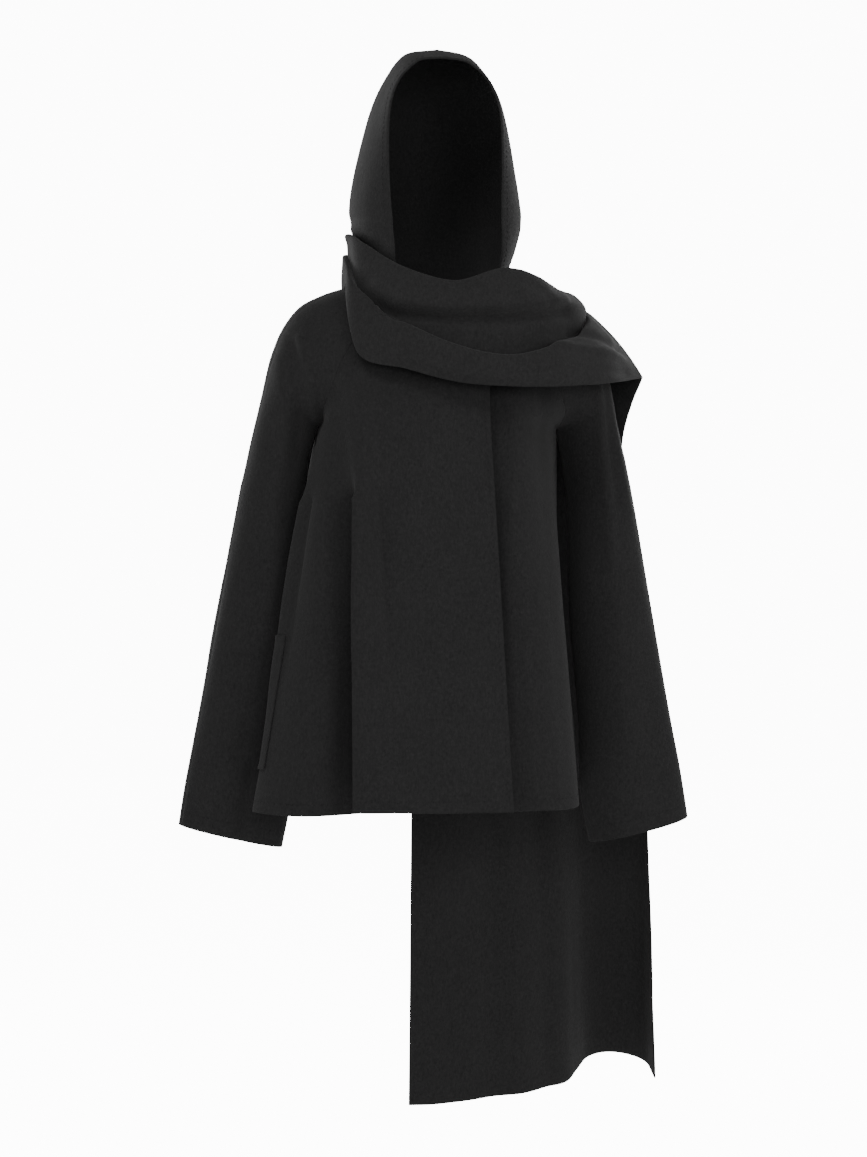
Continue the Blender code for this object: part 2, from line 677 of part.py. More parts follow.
def make_piece(name, surface, across, down, collection, wool, out=1, wall=WALL):
    """One cut piece: two sheets of points, a wall apart, joined along their edges.

    The edges stand half a seam gap back, and the inner sheet a little more.
    """
    outer = [[surface(i / across, j / down) for j in range(down + 1)] for i in range(across + 1)]
    cloth = bmesh.new()
    sheets = [[], []]
    for i in range(across + 1):
        for j in range(down + 1):
            normal = wall_direction(surface, i / across, j / down) * out
            inward = step_in(outer, i, j, across, down)
            point = outer[i][j] + inward * SEAM_GAP / 2
            sheets[0].append(cloth.verts.new(point))
            sheets[1].append(cloth.verts.new(point - normal * wall + inward * INNER_STEP))

    def vert(sheet, i, j):
        return sheets[sheet][i * (down + 1) + j]

    for i in range(across):
        for j in range(down):
            corners = ((i, j), (i, j + 1), (i + 1, j + 1), (i + 1, j))
            cloth.faces.new([vert(0, *corner) for corner in corners])
            cloth.faces.new([vert(1, *corner) for corner in (corners[0], corners[3], corners[2], corners[1])])
    rim = [(i, 0) for i in range(across)] + [(across, j) for j in range(down)]
    rim += [(i, down) for i in range(across, 0, -1)] + [(0, j) for j in range(down, 0, -1)]
    for here, there in zip(rim, rim[1:] + rim[:1]):
        cloth.faces.new([vert(0, *here), vert(0, *there), vert(1, *there), vert(1, *here)])
    bmesh.ops.triangulate(cloth, faces=cloth.faces, quad_method="FIXED")
    bmesh.ops.recalc_face_normals(cloth, faces=cloth.faces)
    mesh = bpy.data.meshes.new(name)
    cloth.to_mesh(mesh)
    cloth.free()
    mesh.materials.append(wool)
    mesh.shade_smooth()
    mesh.set_sharp_from_angle(angle=math.radians(40))
    collection.objects.link(bpy.data.objects.new(name, mesh))


def main():
    for old in list(bpy.data.objects):
        bpy.data.objects.remove(old)
    collection = bpy.data.collections.new(COAT_NAME)
    bpy.context.scene.collection.children.link(collection)
    wool = make_material()

    rows = body_rows()
    panels = (
        ("front_right", right_front, RIGHT_FRONT_FOLDS, -1),
        ("front_left", left_front, LEFT_FRONT_FOLDS, 1),
        ("back", back, BACK_FOLDS, 1),
    )
    for name, surface, folds, out in panels:
        shares = shares_of(folds)
        grid = on_grid(surface, shares, rows)
        make_piece(name, grid, len(shares) - 1, len(rows) - 1, collection, wool, out)
    right, left = shares_of(RIGHT_FRONT_FOLDS), shares_of(LEFT_FRONT_FOLDS)
    welt = pocket_welt(right_front, right, rows, RIGHT_POCKET_SHARES, -1)
    make_piece("pocket_welt_right", welt, 2, 6, collection, wool, -1, POCKET_WALL)
    welt = pocket_welt(left_front, left, rows, LEFT_POCKET_SHARES, 1)
    make_piece("pocket_welt_left", welt, 2, 6, collection, wool, 1, POCKET_WALL)

    arm_at = through(arm_rows())
    steps = len(arm_rows()) - 1
    for side, word in ((1, "left"), (-1, "right")):
        front, rear = sleeve_front(side), sleeve_back(side)
        make_piece("sleeve_front_" + word, lambda u, v: front(u, arm_at(v)), 7, steps, collection, wool, side)
        make_piece("sleeve_back_" + word, lambda u, v: rear(u, arm_at(v)), 8, steps, collection, wool, -side)
        make_piece("hood_" + word, hood_half(side), 9, 12, collection, wool, side)
    for name, stretch, across, down in (
        ("scarf_upper", (0, 0.5, 0, 1), 11, 22),
        ("scarf_lower", (0.5, 1, 0, 1), 11, 22),
        ("scarf_shoulder", (0, 1, 1, 1 + SHOULDER_PART), 22, 8),
        ("scarf_tail", (0, 1, 1 + SHOULDER_PART, 2), 22, 12),
    ):
        make_piece(name, scarf_stretch(*stretch), across, down, collection, wool)


main()
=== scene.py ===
# A hooded raglan coat of black felted wool, with a wide scarf wound at the neck.
import math

import bmesh
import bpy
from mathutils import Matrix, Vector, noise
from mathutils.bvhtree import BVHTree


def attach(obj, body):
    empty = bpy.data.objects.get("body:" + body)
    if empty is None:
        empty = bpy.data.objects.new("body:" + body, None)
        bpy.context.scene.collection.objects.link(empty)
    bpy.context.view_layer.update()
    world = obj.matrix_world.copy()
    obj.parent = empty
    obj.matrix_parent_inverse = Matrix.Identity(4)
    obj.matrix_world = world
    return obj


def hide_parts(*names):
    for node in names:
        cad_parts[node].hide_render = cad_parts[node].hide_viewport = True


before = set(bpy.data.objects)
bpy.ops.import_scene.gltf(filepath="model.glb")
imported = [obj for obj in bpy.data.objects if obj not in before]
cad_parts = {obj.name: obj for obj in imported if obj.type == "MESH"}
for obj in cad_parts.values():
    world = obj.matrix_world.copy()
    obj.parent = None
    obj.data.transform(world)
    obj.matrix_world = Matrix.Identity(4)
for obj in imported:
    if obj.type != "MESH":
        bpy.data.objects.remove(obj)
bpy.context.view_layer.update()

mm = 0.001


def blend(a, b, t):
    return a + (b - a) * t


def ease(t):
    t = min(1.0, max(0.0, t))
    return t * t * (3 - 2 * t)


def hermite(a, b, slopeA, slopeB, t):
    return (
        a * (2 * t**3 - 3 * t**2 + 1)
        + slopeA * (t**3 - 2 * t**2 + t)
        + b * (3 * t**2 - 2 * t**3)
        + slopeB * (t**3 - t**2)
    )


# All columns at a place between rows, on a smooth curve through the rows
def readTable(table, key, at):
    last = len(table) - 2
    i = 0
    while i < last and at > table[i + 1][key]:
        i += 1
    here, there = table[i], table[i + 1]
    before, after = table[max(i - 1, 0)], table[min(i + 2, last + 1)]
    span = there[key] - here[key]
    t = min(1.0, max(0.0, (at - here[key]) / span))
    values = {}
    for column in here:
        a, b = here[column], there[column]
        slopeA = (b - before[column]) / (there[key] - before[key]) * span
        slopeB = (after[column] - a) / (after[key] - here[key]) * span
        values[column] = hermite(a, b, slopeA, slopeB, t)
    return values


# readTable on rows that are evenly spaced from 0 to 1
def readStations(table, at):
    step = 1 / (len(table) - 1)
    return readTable([dict(row, at=i * step) for i, row in enumerate(table)], "at", at)


def place(row, name):
    return Vector((row[name + "X"], row[name + "Y"], row[name + "Z"])) * mm


# Turns an even 0 to 1 into the given values in turn
def through(values):
    def at(t):
        steps = t * (len(values) - 1)
        i = min(max(int(steps), 0), len(values) - 2)
        return blend(values[i], values[i + 1], steps - i)
    return at


# The neckline is an oval, lower in front. The sleeves' seams meet it at these degrees
neckline = {
    "halfWidth": 78 * mm,
    "front": -119 * mm,
    "back": 88 * mm,
    "frontHeight": -50 * mm,
    "backHeight": 15 * mm,
    "frontSeam": 64,
    "backSeam": 126,
}


# 0 at centre front, positive towards +X, 180 at centre back
def neckPoint(degrees):
    angle = math.radians(degrees)
    middle = (neckline["front"] + neckline["back"]) / 2
    deep = (neckline["back"] - neckline["front"]) / 2
    rise = (neckline["backHeight"] - neckline["frontHeight"]) * abs(math.sin(angle / 2))
    return Vector((
        neckline["halfWidth"] * math.sin(angle),
        middle - deep * math.cos(angle),
        neckline["frontHeight"] + rise,
    ))


sleeveCut = {
    "overarm": 15,  # degrees that the overarm seam lies forward
    "underarm": 0.30,  # shares of the length
    "firstArch": 0.05,
    "sway": 4 * mm,
}

# Sleeve sections in millimetres, from the neck to the cuff, for the left side, +X. Each is
# an arc about a middle, through the outermost point, open towards the body above the
# underarm. Below it the arc is a whole turn.
sleeve = [
    dict(along=0.05, outX=116, outZ=-7, midX=90, midZ=-76, midY=2, deep=86, turn=72),
    dict(along=0.10, outX=146, outZ=-17, midX=105, midZ=-120, midY=2, deep=88, turn=72),
    dict(along=0.15, outX=174, outZ=-32, midX=117, midZ=-148, midY=3, deep=86, turn=74),
    dict(along=0.20, outX=197, outZ=-62, midX=147, midZ=-139, midY=5, deep=76, turn=94),
    dict(along=0.25, outX=213, outZ=-106, midX=170, midZ=-146, midY=9, deep=68, turn=118),
    dict(along=0.28, outX=220, outZ=-136, midX=182, midZ=-158, midY=12, deep=65, turn=152),
    dict(along=0.30, outX=226, outZ=-160, midX=189, midZ=-171, midY=14, deep=62, turn=180),
    dict(along=0.40, outX=247, outZ=-252, midX=207, midZ=-260, midY=18, deep=60, turn=180),
    dict(along=0.60, outX=273, outZ=-392, midX=222, midZ=-402, midY=20, deep=55, turn=180),
    dict(along=0.80, outX=298, outZ=-530, midX=240, midZ=-541, midY=20, deep=48, turn=180),
    dict(along=0.92, outX=314, outZ=-614, midX=249, midZ=-627, midY=19, deep=42, turn=180),
    dict(along=1.00, outX=323, outZ=-671, midX=259, midZ=-686, midY=18, deep=39, turn=180),
]


def sleeveRow(along):
    row = readTable(sleeve, "along", max(along, sleeveCut["firstArch"]))
    row["turn"] = min(row["turn"], 180)
    return row


# A sleeve section: fraction runs from 1 at the front seam to -1 at the back seam
def sleeveRing(along, fraction, side):
    row = sleeveRow(along)
    angle = math.radians(row["turn"]) * fraction
    out = Vector((row["outX"] - row["midX"], 0, row["outZ"] - row["midZ"])) * mm
    front = Vector((0, -row["deep"] * mm, 0))
    middle = Vector((row["midX"], row["midY"], row["midZ"])) * mm
    point = middle + out * math.cos(angle) + front * math.sin(angle)
    if along < sleeveCut["firstArch"]:
        shoulder = (neckline["frontSeam"] + neckline["backSeam"]) / 2
        reach = (neckline["backSeam"] - neckline["frontSeam"]) / 2
        point = neckPoint(shoulder - reach * fraction).lerp(point, along / sleeveCut["firstArch"])
    point.x = side * point.x + sleeveCut["sway"] * ease(along / sleeveCut["underarm"])
    return point


def sleeveFront(side):
    def at(share, v):
        return sleeveRing(v, blend(sleeveCut["overarm"] / sleeveRow(v)["turn"], 1, share), side)
    return at


def sleeveBack(side):
    def at(share, v):
        return sleeveRing(v, blend(sleeveCut["overarm"] / sleeveRow(v)["turn"], -1, share), side)
    return at


bodyCut = {
    "lean": 0.135,
    "frontAtOrigin": -112 * mm,
    "chestHeight": -180 * mm,
    "backChest": 122 * mm,
    "closure": 46 * mm,
    "underlapEdge": -12 * mm,
    "underlapDepth": 13 * mm,
    "underlapStart": 26 * mm,  # the left front begins to step back this far beyond the closure
    "underlapStep": 20 * mm,
    "raglanPart": 0.26,
    "rightFrontTurn": 82,  # degrees that the panels' rows turn at the underarm
    "leftFrontTurn": 46,
    "rightBackTurn": 88,
    "leftBackTurn": 74,
    "soonerScale": 27 / 4,  # makes the most of down * (1 - down) ** 2 come to 1
    "backSooner": [{"most": 0.24, "first": 0.0, "last": 0.22}],  # folds that form early
    "rightFrontSooner": [
        {"most": 0.18, "first": 0.0, "last": 0.18},
        {"most": 0.36, "first": 0.18, "last": 0.50},
    ],
}

# How a row leaves the raglan seam above the underarm, and how it meets the middle
frontCurve = {
    "drop": 20 * mm,  # of the first row's edge below the neckline
    "turn": 18,  # degrees at the neck
    "turnFrom": 0.3,  # share of the raglan part where it begins to turn further
    "flattest": 30 * mm,
    "sideways": 1.5,
    "forwards": 3.5,
    "atEdge": 1.4,
}
backCurve = {
    "height": -12 * mm,
    "depth": 105 * mm,
    "turn": 14,
    "turnFrom": 0.45,
    "flattest": 25 * mm,
    "sideways": 1.5,
    "backwards": 2.4,
    "atMiddle": 1.4,
}

# Folds at the hem in millimetres. share is the fold's place across the panel at the chest.
rightFrontFolds = [
    dict(share=0.00, x=-168, y=22, z=-640),
    dict(share=0.04, x=-184, y=-18, z=-642),
    dict(share=0.09, x=-216, y=-50, z=-644),
    dict(share=0.14, x=-234, y=-78, z=-645),
    dict(share=0.18, x=-224, y=-110, z=-645),
    dict(share=0.22, x=-192, y=-143, z=-645),
    dict(share=0.26, x=-157, y=-149, z=-645),
    dict(share=0.29, x=-120, y=-133, z=-645),
    dict(share=0.31, x=-93, y=-128, z=-644),
    dict(share=0.33, x=-87, y=-154, z=-641),
    dict(share=0.355, x=-106, y=-178, z=-638),
    dict(share=0.375, x=-124, y=-190, z=-637),
    dict(share=0.40, x=-114, y=-198, z=-637),
    dict(share=0.50, x=-74, y=-201, z=-637),
    dict(share=0.74, x=-10, y=-202, z=-638),
    dict(share=1.00, x=63, y=-200, z=-638),
]
leftFrontFolds = [
    dict(share=0.00, x=160, y=24, z=-640),
    dict(share=0.06, x=157, y=0, z=-639),
    dict(share=0.12, x=154, y=-38, z=-638),
    dict(share=0.18, x=160, y=-86, z=-638),
    dict(share=0.24, x=155, y=-132, z=-638),
    dict(share=0.31, x=142, y=-165, z=-638),
    dict(share=0.38, x=122, y=-182, z=-638),
    dict(share=0.50, x=94, y=-188, z=-638),
    dict(share=0.70, x=48, y=-185, z=-638),
    dict(share=1.00, x=-12, y=-183, z=-638),
]
backFolds = [
    dict(share=0.00, x=-168, y=22, z=-640),
    dict(share=0.05, x=-184, y=60, z=-640),
    dict(share=0.11, x=-212, y=90, z=-640),
    dict(share=0.17, x=-198, y=130, z=-640),
    dict(share=0.25, x=-160, y=154, z=-640),
    dict(share=0.33, x=-118, y=158, z=-640),
    dict(share=0.42, x=-62, y=174, z=-640),
    dict(share=0.50, x=-4, y=182, z=-640),
    dict(share=0.58, x=50, y=176, z=-640),
    dict(share=0.67, x=98, y=162, z=-640),
    dict(share=0.75, x=148, y=158, z=-640),
    dict(share=0.83, x=190, y=136, z=-640),
    dict(share=0.89, x=205, y=94, z=-640),
    dict(share=0.95, x=182, y=58, z=-640),
    dict(share=1.00, x=160, y=24, z=-640),
]


def frontDepth(height):
    return bodyCut["frontAtOrigin"] + bodyCut["lean"] * height


# A front panel's row above the underarm, from the raglan seam to the front edge
def frontRow(raglan, share, side, edgeX):
    along = raglan * sleeveCut["underarm"]
    start = sleeveRing(max(along, sleeveCut["firstArch"]), 1, side)
    height = blend(neckline["frontHeight"] - frontCurve["drop"], bodyCut["chestHeight"], raglan)
    end = Vector((edgeX, frontDepth(height), height))
    fullness = bodyCut["rightFrontTurn" if side < 0 else "leftFrontTurn"]
    turned = ease((raglan - frontCurve["turnFrom"]) / (1 - frontCurve["turnFrom"]))
    forward = math.radians(frontCurve["turn"] + fullness * turned)
    across = abs(end.x - start.x)
    deep = max(abs(end.y - start.y), frontCurve["flattest"])
    slopeA = Vector((
        -side * math.cos(forward) * across * frontCurve["sideways"],
        -math.sin(forward) * deep * frontCurve["forwards"],
        0,
    ))
    slopeB = Vector((-side * across * frontCurve["atEdge"], 0, 0))
    point = hermite(start, end, slopeA, slopeB, share)
    if along < sleeveCut["firstArch"]:
        edgeDegrees = math.degrees(math.asin(edgeX / neckline["halfWidth"]))
        collar = neckPoint(blend(side * neckline["frontSeam"], edgeDegrees, share))
        point = collar.lerp(point, along / sleeveCut["firstArch"])
    return point


# The back panel's row above the underarm, from the right seam to the left seam
def backRow(raglan, share):
    along = raglan * sleeveCut["underarm"]
    side = -1 if share < 0.5 else 1
    start = sleeveRing(max(along, sleeveCut["firstArch"]), -1, side)
    height = blend(backCurve["height"], bodyCut["chestHeight"], raglan)
    end = Vector((0, blend(backCurve["depth"], bodyCut["backChest"], raglan), height))
    fullness = bodyCut["rightBackTurn" if side < 0 else "leftBackTurn"]
    turned = ease((raglan - backCurve["turnFrom"]) / (1 - backCurve["turnFrom"]))
    turn = math.radians(backCurve["turn"] + fullness * turned)
    across = abs(end.x - start.x)
    deep = max(abs(end.y - start.y), backCurve["flattest"])
    slopeA = Vector((
        -side * math.cos(turn) * across * backCurve["sideways"],
        math.sin(turn) * deep * backCurve["backwards"],
        0,
    ))
    slopeB = Vector((-side * across * backCurve["atMiddle"], 0, 0))
    inward = 1 - abs(share - 0.5) * 2
    point = hermite(start, end, slopeA, slopeB, inward)
    if along < sleeveCut["firstArch"]:
        collar = neckPoint(blend(side * neckline["backSeam"], side * 180, inward))
        point = collar.lerp(point, along / sleeveCut["firstArch"])
    return point


# Below the chest: from the chest row out to the folds of the hem
def skirtPoint(chest, folds, share, down, sooner=()):
    row = readTable(folds, "share", share)
    hem = Vector((row["x"], row["y"], row["z"])) * mm
    point = chest.lerp(hem, down)
    for fold in sooner:
        if fold["first"] < share < fold["last"]:
            placeInFold = (share - fold["first"]) / (fold["last"] - fold["first"])
            early = bodyCut["soonerScale"] * down * (1 - down) ** 2
            ahead = fold["most"] * early * math.sin(math.pi * placeInFold)
            folded = chest.lerp(hem, min(1.0, down + ahead))
            point.x, point.y = folded.x, folded.y
    return point


# Where a row lies: up to 1 in the raglan part, then 0 to 1 from the underarm to the hem
def splitHeight(v):
    if v <= bodyCut["raglanPart"]:
        return v / bodyCut["raglanPart"], 0.0
    return 1.0, (v - bodyCut["raglanPart"]) / (1 - bodyCut["raglanPart"])


def rightFront(share, v):
    raglan, down = splitHeight(v)
    point = frontRow(raglan, share, -1, bodyCut["closure"])
    if down:
        return skirtPoint(point, rightFrontFolds, share, down, bodyCut["rightFrontSooner"])
    return point


def leftFront(share, v):
    raglan, down = splitHeight(v)
    point = frontRow(raglan, share, 1, bodyCut["underlapEdge"])
    under = bodyCut["closure"] + bodyCut["underlapStart"] - point.x
    point.y += bodyCut["underlapDepth"] * ease(under / bodyCut["underlapStep"])
    return skirtPoint(point, leftFrontFolds, share, down) if down else point


def back(share, v):
    raglan, down = splitHeight(v)
    point = backRow(raglan, share)
    return skirtPoint(point, backFolds, share, down, bodyCut["backSooner"]) if down else point


# Rows of points down a panel and a sleeve, the same above the underarm, along their seams
rowCut = {
    "arch": [0, 0.05, 0.09, 0.13, 0.17, 0.21, 0.245, 0.27, 0.287, 0.30],
    "below": 14,  # even rows below the underarm
}


def rowsBelow(underarm):
    return [underarm + (1 - underarm) * i / rowCut["below"] for i in range(1, rowCut["below"] + 1)]


bodyArch = [along / sleeveCut["underarm"] * bodyCut["raglanPart"] for along in rowCut["arch"]]
bodyRows = through(bodyArch + rowsBelow(bodyCut["raglanPart"]))
armRows = through(rowCut["arch"] + rowsBelow(sleeveCut["underarm"]))
evenRows = through([0, 1])


hoodCut = {
    "neckDegrees": 52,  # where the opening starts on the neckline
    "sway": -3 * mm,
    "swayFrom": 0.3,
    "overNeck": 1.0 * mm,  # sewn over the neck's edge, so that no light comes through
    "widestAt": 0.45,
    "rise": 6 * mm,  # of the sides between the opening and the seam
    "crownStart": 0.9,
    "point": 1e-6,  # narrower than this, the crown is a point
}

# Hood sections in millimetres, from just above the neck to the crown: the opening's edge,
# the widest place and the centre seam at the back.
hood = [
    dict(up=0.10, edgeX=66, edgeY=-112, edgeZ=26, wide=86, fuller=9, seamY=97, seamZ=36),
    dict(up=0.17, edgeX=67, edgeY=-113, edgeZ=52, wide=105, fuller=-1, seamY=105, seamZ=62),
    dict(up=0.20, edgeX=67, edgeY=-113, edgeZ=63, wide=105, fuller=1, seamY=109, seamZ=73),
    dict(up=0.24, edgeX=68, edgeY=-112, edgeZ=78, wide=107, fuller=0, seamY=114, seamZ=88),
    dict(up=0.38, edgeX=70, edgeY=-107, edgeZ=126, wide=100, fuller=0, seamY=122, seamZ=138),
    dict(up=0.54, edgeX=70, edgeY=-100, edgeZ=178, wide=87, fuller=2, seamY=120, seamZ=194),
    dict(up=0.68, edgeX=65, edgeY=-94, edgeZ=213, wide=74, fuller=3, seamY=106, seamZ=240),
    dict(up=0.80, edgeX=54, edgeY=-89, edgeZ=238, wide=59, fuller=3, seamY=82, seamZ=269),
    dict(up=0.90, edgeX=36, edgeY=-86, edgeZ=256, wide=45, fuller=1, seamY=48, seamZ=285),
    dict(up=0.96, edgeX=23, edgeY=-85, edgeZ=262, wide=30, fuller=0, seamY=24, seamZ=290),
    dict(up=1.00, edgeX=0, edgeY=-85, edgeZ=264, wide=0, fuller=0, seamY=6, seamZ=292),
]


# Half of the hood, from the opening's edge round to the centre seam
def hoodHalf(side):
    first = hood[0]["up"]

    def at(share, v):
        row = readTable(hood, "up", max(v, first))
        edge = place(row, "edge")
        wide = (row["wide"] + (row["fuller"] if side > 0 else 0)) * mm
        seamY, seamZ = row["seamY"] * mm, row["seamZ"] * mm
        if wide > hoodCut["point"]:
            start = math.asin(min(1.0, edge.x / wide))
        else:
            start = math.pi / 2 * hoodCut["crownStart"]
        angle = blend(start, math.pi, share)
        x = wide * math.sin(angle)
        middle = blend(edge.y, seamY, hoodCut["widestAt"])
        if angle < math.pi / 2:
            y = blend(edge.y, middle, 1 - math.cos(angle) / max(math.cos(start), hoodCut["point"]))
        else:
            y = blend(middle, seamY, -math.cos(angle))
        backwards = (y - edge.y) / (seamY - edge.y)
        z = blend(edge.z, seamZ, backwards) + math.sin(backwards * math.pi) * hoodCut["rise"]
        point = Vector((x, y, z))
        if v < first:
            neck = neckPoint(blend(hoodCut["neckDegrees"], 180, share))
            neck.z -= hoodCut["overNeck"]
            point = neck.lerp(point, v / first)
        point.x = side * point.x + hoodCut["sway"] * ease(v / hoodCut["swayFrom"])
        return point
    return at


scarfCut = {
    "shoulderPart": 0.30,  # of the hanging length, over the shoulder
    "startPart": 0.45,  # of the shoulder's stretch, where it is eased out of the winding
    "wall": 2.3 * mm,
    "look": 0.02,  # share of the length to either side, to find the way out
    "crestHalf": 3.5 * mm,
    "riseAt": 0.55,
    "rollAt": 0.5,
    "bandAt": (0.35, 0.7),
    "bandLess": 0.8,
    "bowSideways": 0.2,
    "bowBackwards": 0.6,
}

# The wound scarf, in millimetres, from behind the hood's right side to the left shoulder
upperScarf = [
    dict(inX=-28, inY=92, inZ=24, topX=-35, topY=112, topZ=42,
         dipX=-41, dipY=121, dipZ=24, roll=2),
    dict(inX=-68, inY=54, inZ=26, topX=-87, topY=68, topZ=54,
         dipX=-94, dipY=74, dipZ=32, roll=2),
    dict(inX=-84, inY=11, inZ=32, topX=-109, topY=10, topZ=60,
         dipX=-110, dipY=8, dipZ=39, roll=1),
    dict(inX=-84.5, inY=-30, inZ=22, topX=-108, topY=-33, topZ=53,
         dipX=-111, dipY=-36, dipZ=23, roll=2),
    dict(inX=-85, inY=-66, inZ=6, topX=-97, topY=-72, topZ=36,
         dipX=-100, dipY=-80, dipZ=-14, roll=5),
    dict(inX=-50, inY=-110, inZ=-22, topX=-56, topY=-121, topZ=2,
         dipX=-59, dipY=-124, dipZ=-54, roll=11),
    dict(inX=2, inY=-128, inZ=-40, topX=1, topY=-141, topZ=-15,
         dipX=1, dipY=-144, dipZ=-62, roll=11),
    dict(inX=54, inY=-130, inZ=-25, topX=59, topY=-144, topZ=0,
         dipX=61, dipY=-146, dipZ=-61, roll=11),
    dict(inX=92, inY=-104, inZ=-20, topX=105, topY=-118, topZ=-5,
         dipX=114, dipY=-129, dipZ=-49, roll=9),
    dict(inX=108, inY=-60, inZ=-4, topX=140, topY=-66, topZ=-11,
         dipX=156, dipY=-84, dipZ=-38, roll=6),
    dict(inX=108, inY=-18, inZ=5, topX=166, topY=-20, topZ=-10,
         dipX=184, dipY=-32, dipZ=-31, roll=4),
    dict(inX=104, inY=22, inZ=8, topX=172, topY=22, topZ=-9,
         dipX=188, dipY=22, dipZ=-23, roll=2),
]
lowerScarf = [
    dict(edgeX=-44, edgeY=131, edgeZ=20, lowX=-46, lowY=136, lowZ=-26, belly=3, tuck=4),
    dict(edgeX=-101, edgeY=82, edgeZ=28, lowX=-105, lowY=87, lowZ=-24, belly=3, tuck=4),
    dict(edgeX=-116, edgeY=8, edgeZ=34, lowX=-113, lowY=8, lowZ=-1, belly=1, tuck=3),
    dict(edgeX=-117, edgeY=-42, edgeZ=17, lowX=-117, lowY=-56, lowZ=-22, belly=2, tuck=5),
    dict(edgeX=-110, edgeY=-88, edgeZ=-16, lowX=-109, lowY=-110, lowZ=-100, belly=6, tuck=14),
    dict(edgeX=-62, edgeY=-140, edgeZ=-62, lowX=-55, lowY=-143, lowZ=-120, belly=7, tuck=22),
    dict(edgeX=1, edgeY=-163, edgeZ=-92, lowX=2, lowY=-160, lowZ=-136, belly=8, tuck=40),
    dict(edgeX=62, edgeY=-167, edgeZ=-104, lowX=60, lowY=-166, lowZ=-141, belly=7, tuck=53),
    dict(edgeX=114, edgeY=-152, edgeZ=-92, lowX=118, lowY=-158, lowZ=-140, belly=8, tuck=54),
    dict(edgeX=155, edgeY=-112, edgeZ=-72, lowX=158, lowY=-138, lowZ=-136, belly=9, tuck=40),
    dict(edgeX=186, edgeY=-58, edgeZ=-52, lowX=206, lowY=-98, lowZ=-128, belly=9, tuck=16),
    dict(edgeX=200, edgeY=18, edgeZ=-30, lowX=262, lowY=-12, lowZ=-113, belly=6, tuck=3),
]

# The scarf over the shoulder and down the back, in millimetres
shoulderScarf = [
    dict(inX=104, inY=26, inZ=8, outX=262, outY=-8, outZ=-113, rise=37),
    dict(inX=88, inY=70, inZ=0, outX=263, outY=52, outZ=-142, rise=32),
    dict(inX=56, inY=112, inZ=-24, outX=264, outY=108, outZ=-184, rise=28),
    dict(inX=22, inY=142, inZ=-66, outX=272, outY=146, outZ=-244, rise=22),
    dict(inX=-6, inY=160, inZ=-124, outX=301, outY=170, outZ=-316, rise=14),
]
tailFolds = [
    dict(share=0.00, x=-8, y=208, z=-1077),
    dict(share=0.14, x=40, y=212, z=-1077),
    dict(share=0.28, x=92, y=219, z=-1075),
    dict(share=0.42, x=145, y=228, z=-1071),
    dict(share=0.51, x=190, y=238, z=-1067),
    dict(share=0.57, x=218, y=252, z=-1063),
    dict(share=0.62, x=236, y=276, z=-1053),
    dict(share=0.69, x=258, y=306, z=-1043),
    dict(share=0.78, x=290, y=322, z=-1040),
    dict(share=0.87, x=323, y=318, z=-1044),
    dict(share=0.95, x=345, y=298, z=-1052),
    dict(share=1.00, x=348, y=264, z=-1066),
]


# The level direction out of the wound scarf, square to a line of its table
def outward(table, at, name):
    before = place(readStations(table, max(at - scarfCut["look"], 0)), name)
    after = place(readStations(table, min(at + scarfCut["look"], 1)), name)
    way = after - before
    return Vector((way.y, -way.x, 0)).normalized()


# Where on the line through the points a share of its length lies
def evenPlace(points, at):
    lengths = [(b - a).length for a, b in zip(points, points[1:])]
    left = at * sum(lengths)
    i = 0
    while i < len(lengths) - 1 and left > lengths[i]:
        left -= lengths[i]
        i += 1
    return (i + left / lengths[i]) / len(lengths)


# A place on a smooth line through a few points, evenly shared out
def smoothLine(points, at):
    count = len(points) - 1
    i = min(int(at * count), count - 1)
    t = at * count - i
    before, after = points[max(i - 1, 0)], points[min(i + 2, count)]
    slopeA = (points[i + 1] - before) / 2
    slopeB = (after - points[i]) / 2
    return hermite(points[i], points[i + 1], slopeA, slopeB, t)


# The bottom of the valley, where the upper roll and the lower band meet
def valley(v):
    row = readStations(upperScarf, v)
    return place(row, "dip") - Vector((0, 0, readStations(lowerScarf, v)["tuck"] * mm))


# The upper roll: up from its hidden edge, over the crest and down into the valley
def upperSection(share, v):
    row = readStations(upperScarf, v)
    out = outward(upperScarf, v, "top")
    inner, top, dip = place(row, "in"), place(row, "top"), place(row, "dip")
    up = Vector((0, 0, mm))
    crest = out * scarfCut["crestHalf"]
    section = [
        inner,
        inner.lerp(top - crest, scarfCut["riseAt"]),
        top - crest - up,
        top + crest - up,
        top.lerp(dip, scarfCut["rollAt"]) + out * row["roll"] * mm,
        dip,
        valley(v),
    ]
    return smoothLine(section, (share + evenPlace(section, share)) / 2)


# The lower band: out of the valley, over its soft edge and down to its lower edge
def lowerSection(share, v):
    row = readStations(lowerScarf, v)
    out = outward(lowerScarf, v, "edge")
    edge, low = place(row, "edge"), place(row, "low")
    belly = out * row["belly"] * mm
    upper, lower = scarfCut["bandAt"]
    section = [
        valley(v),
        edge,
        edge.lerp(low, upper) + belly,
        edge.lerp(low, lower) + belly * scarfCut["bandLess"],
        low,
    ]
    return smoothLine(section, evenPlace(section, share))


# The wound stretch: the upper roll up to the middle share, then the lower band
def woundScarf(share, v):
    if share <= 0.5:
        return upperSection(share * 2, v)
    return lowerSection(share * 2 - 1, v)


# The sheet over the shoulder, bowed up at first and backwards further on
def bowedScarf(share, over):
    row = readStations(shoulderScarf, over)
    bow = math.sin(math.pi * share) * row["rise"] * mm
    backwards = ease(over)
    lift = Vector((
        scarfCut["bowSideways"] * bow,
        backwards * bow * scarfCut["bowBackwards"],
        (1 - backwards) * bow,
    ))
    return place(row, "in").lerp(place(row, "out"), share) + lift


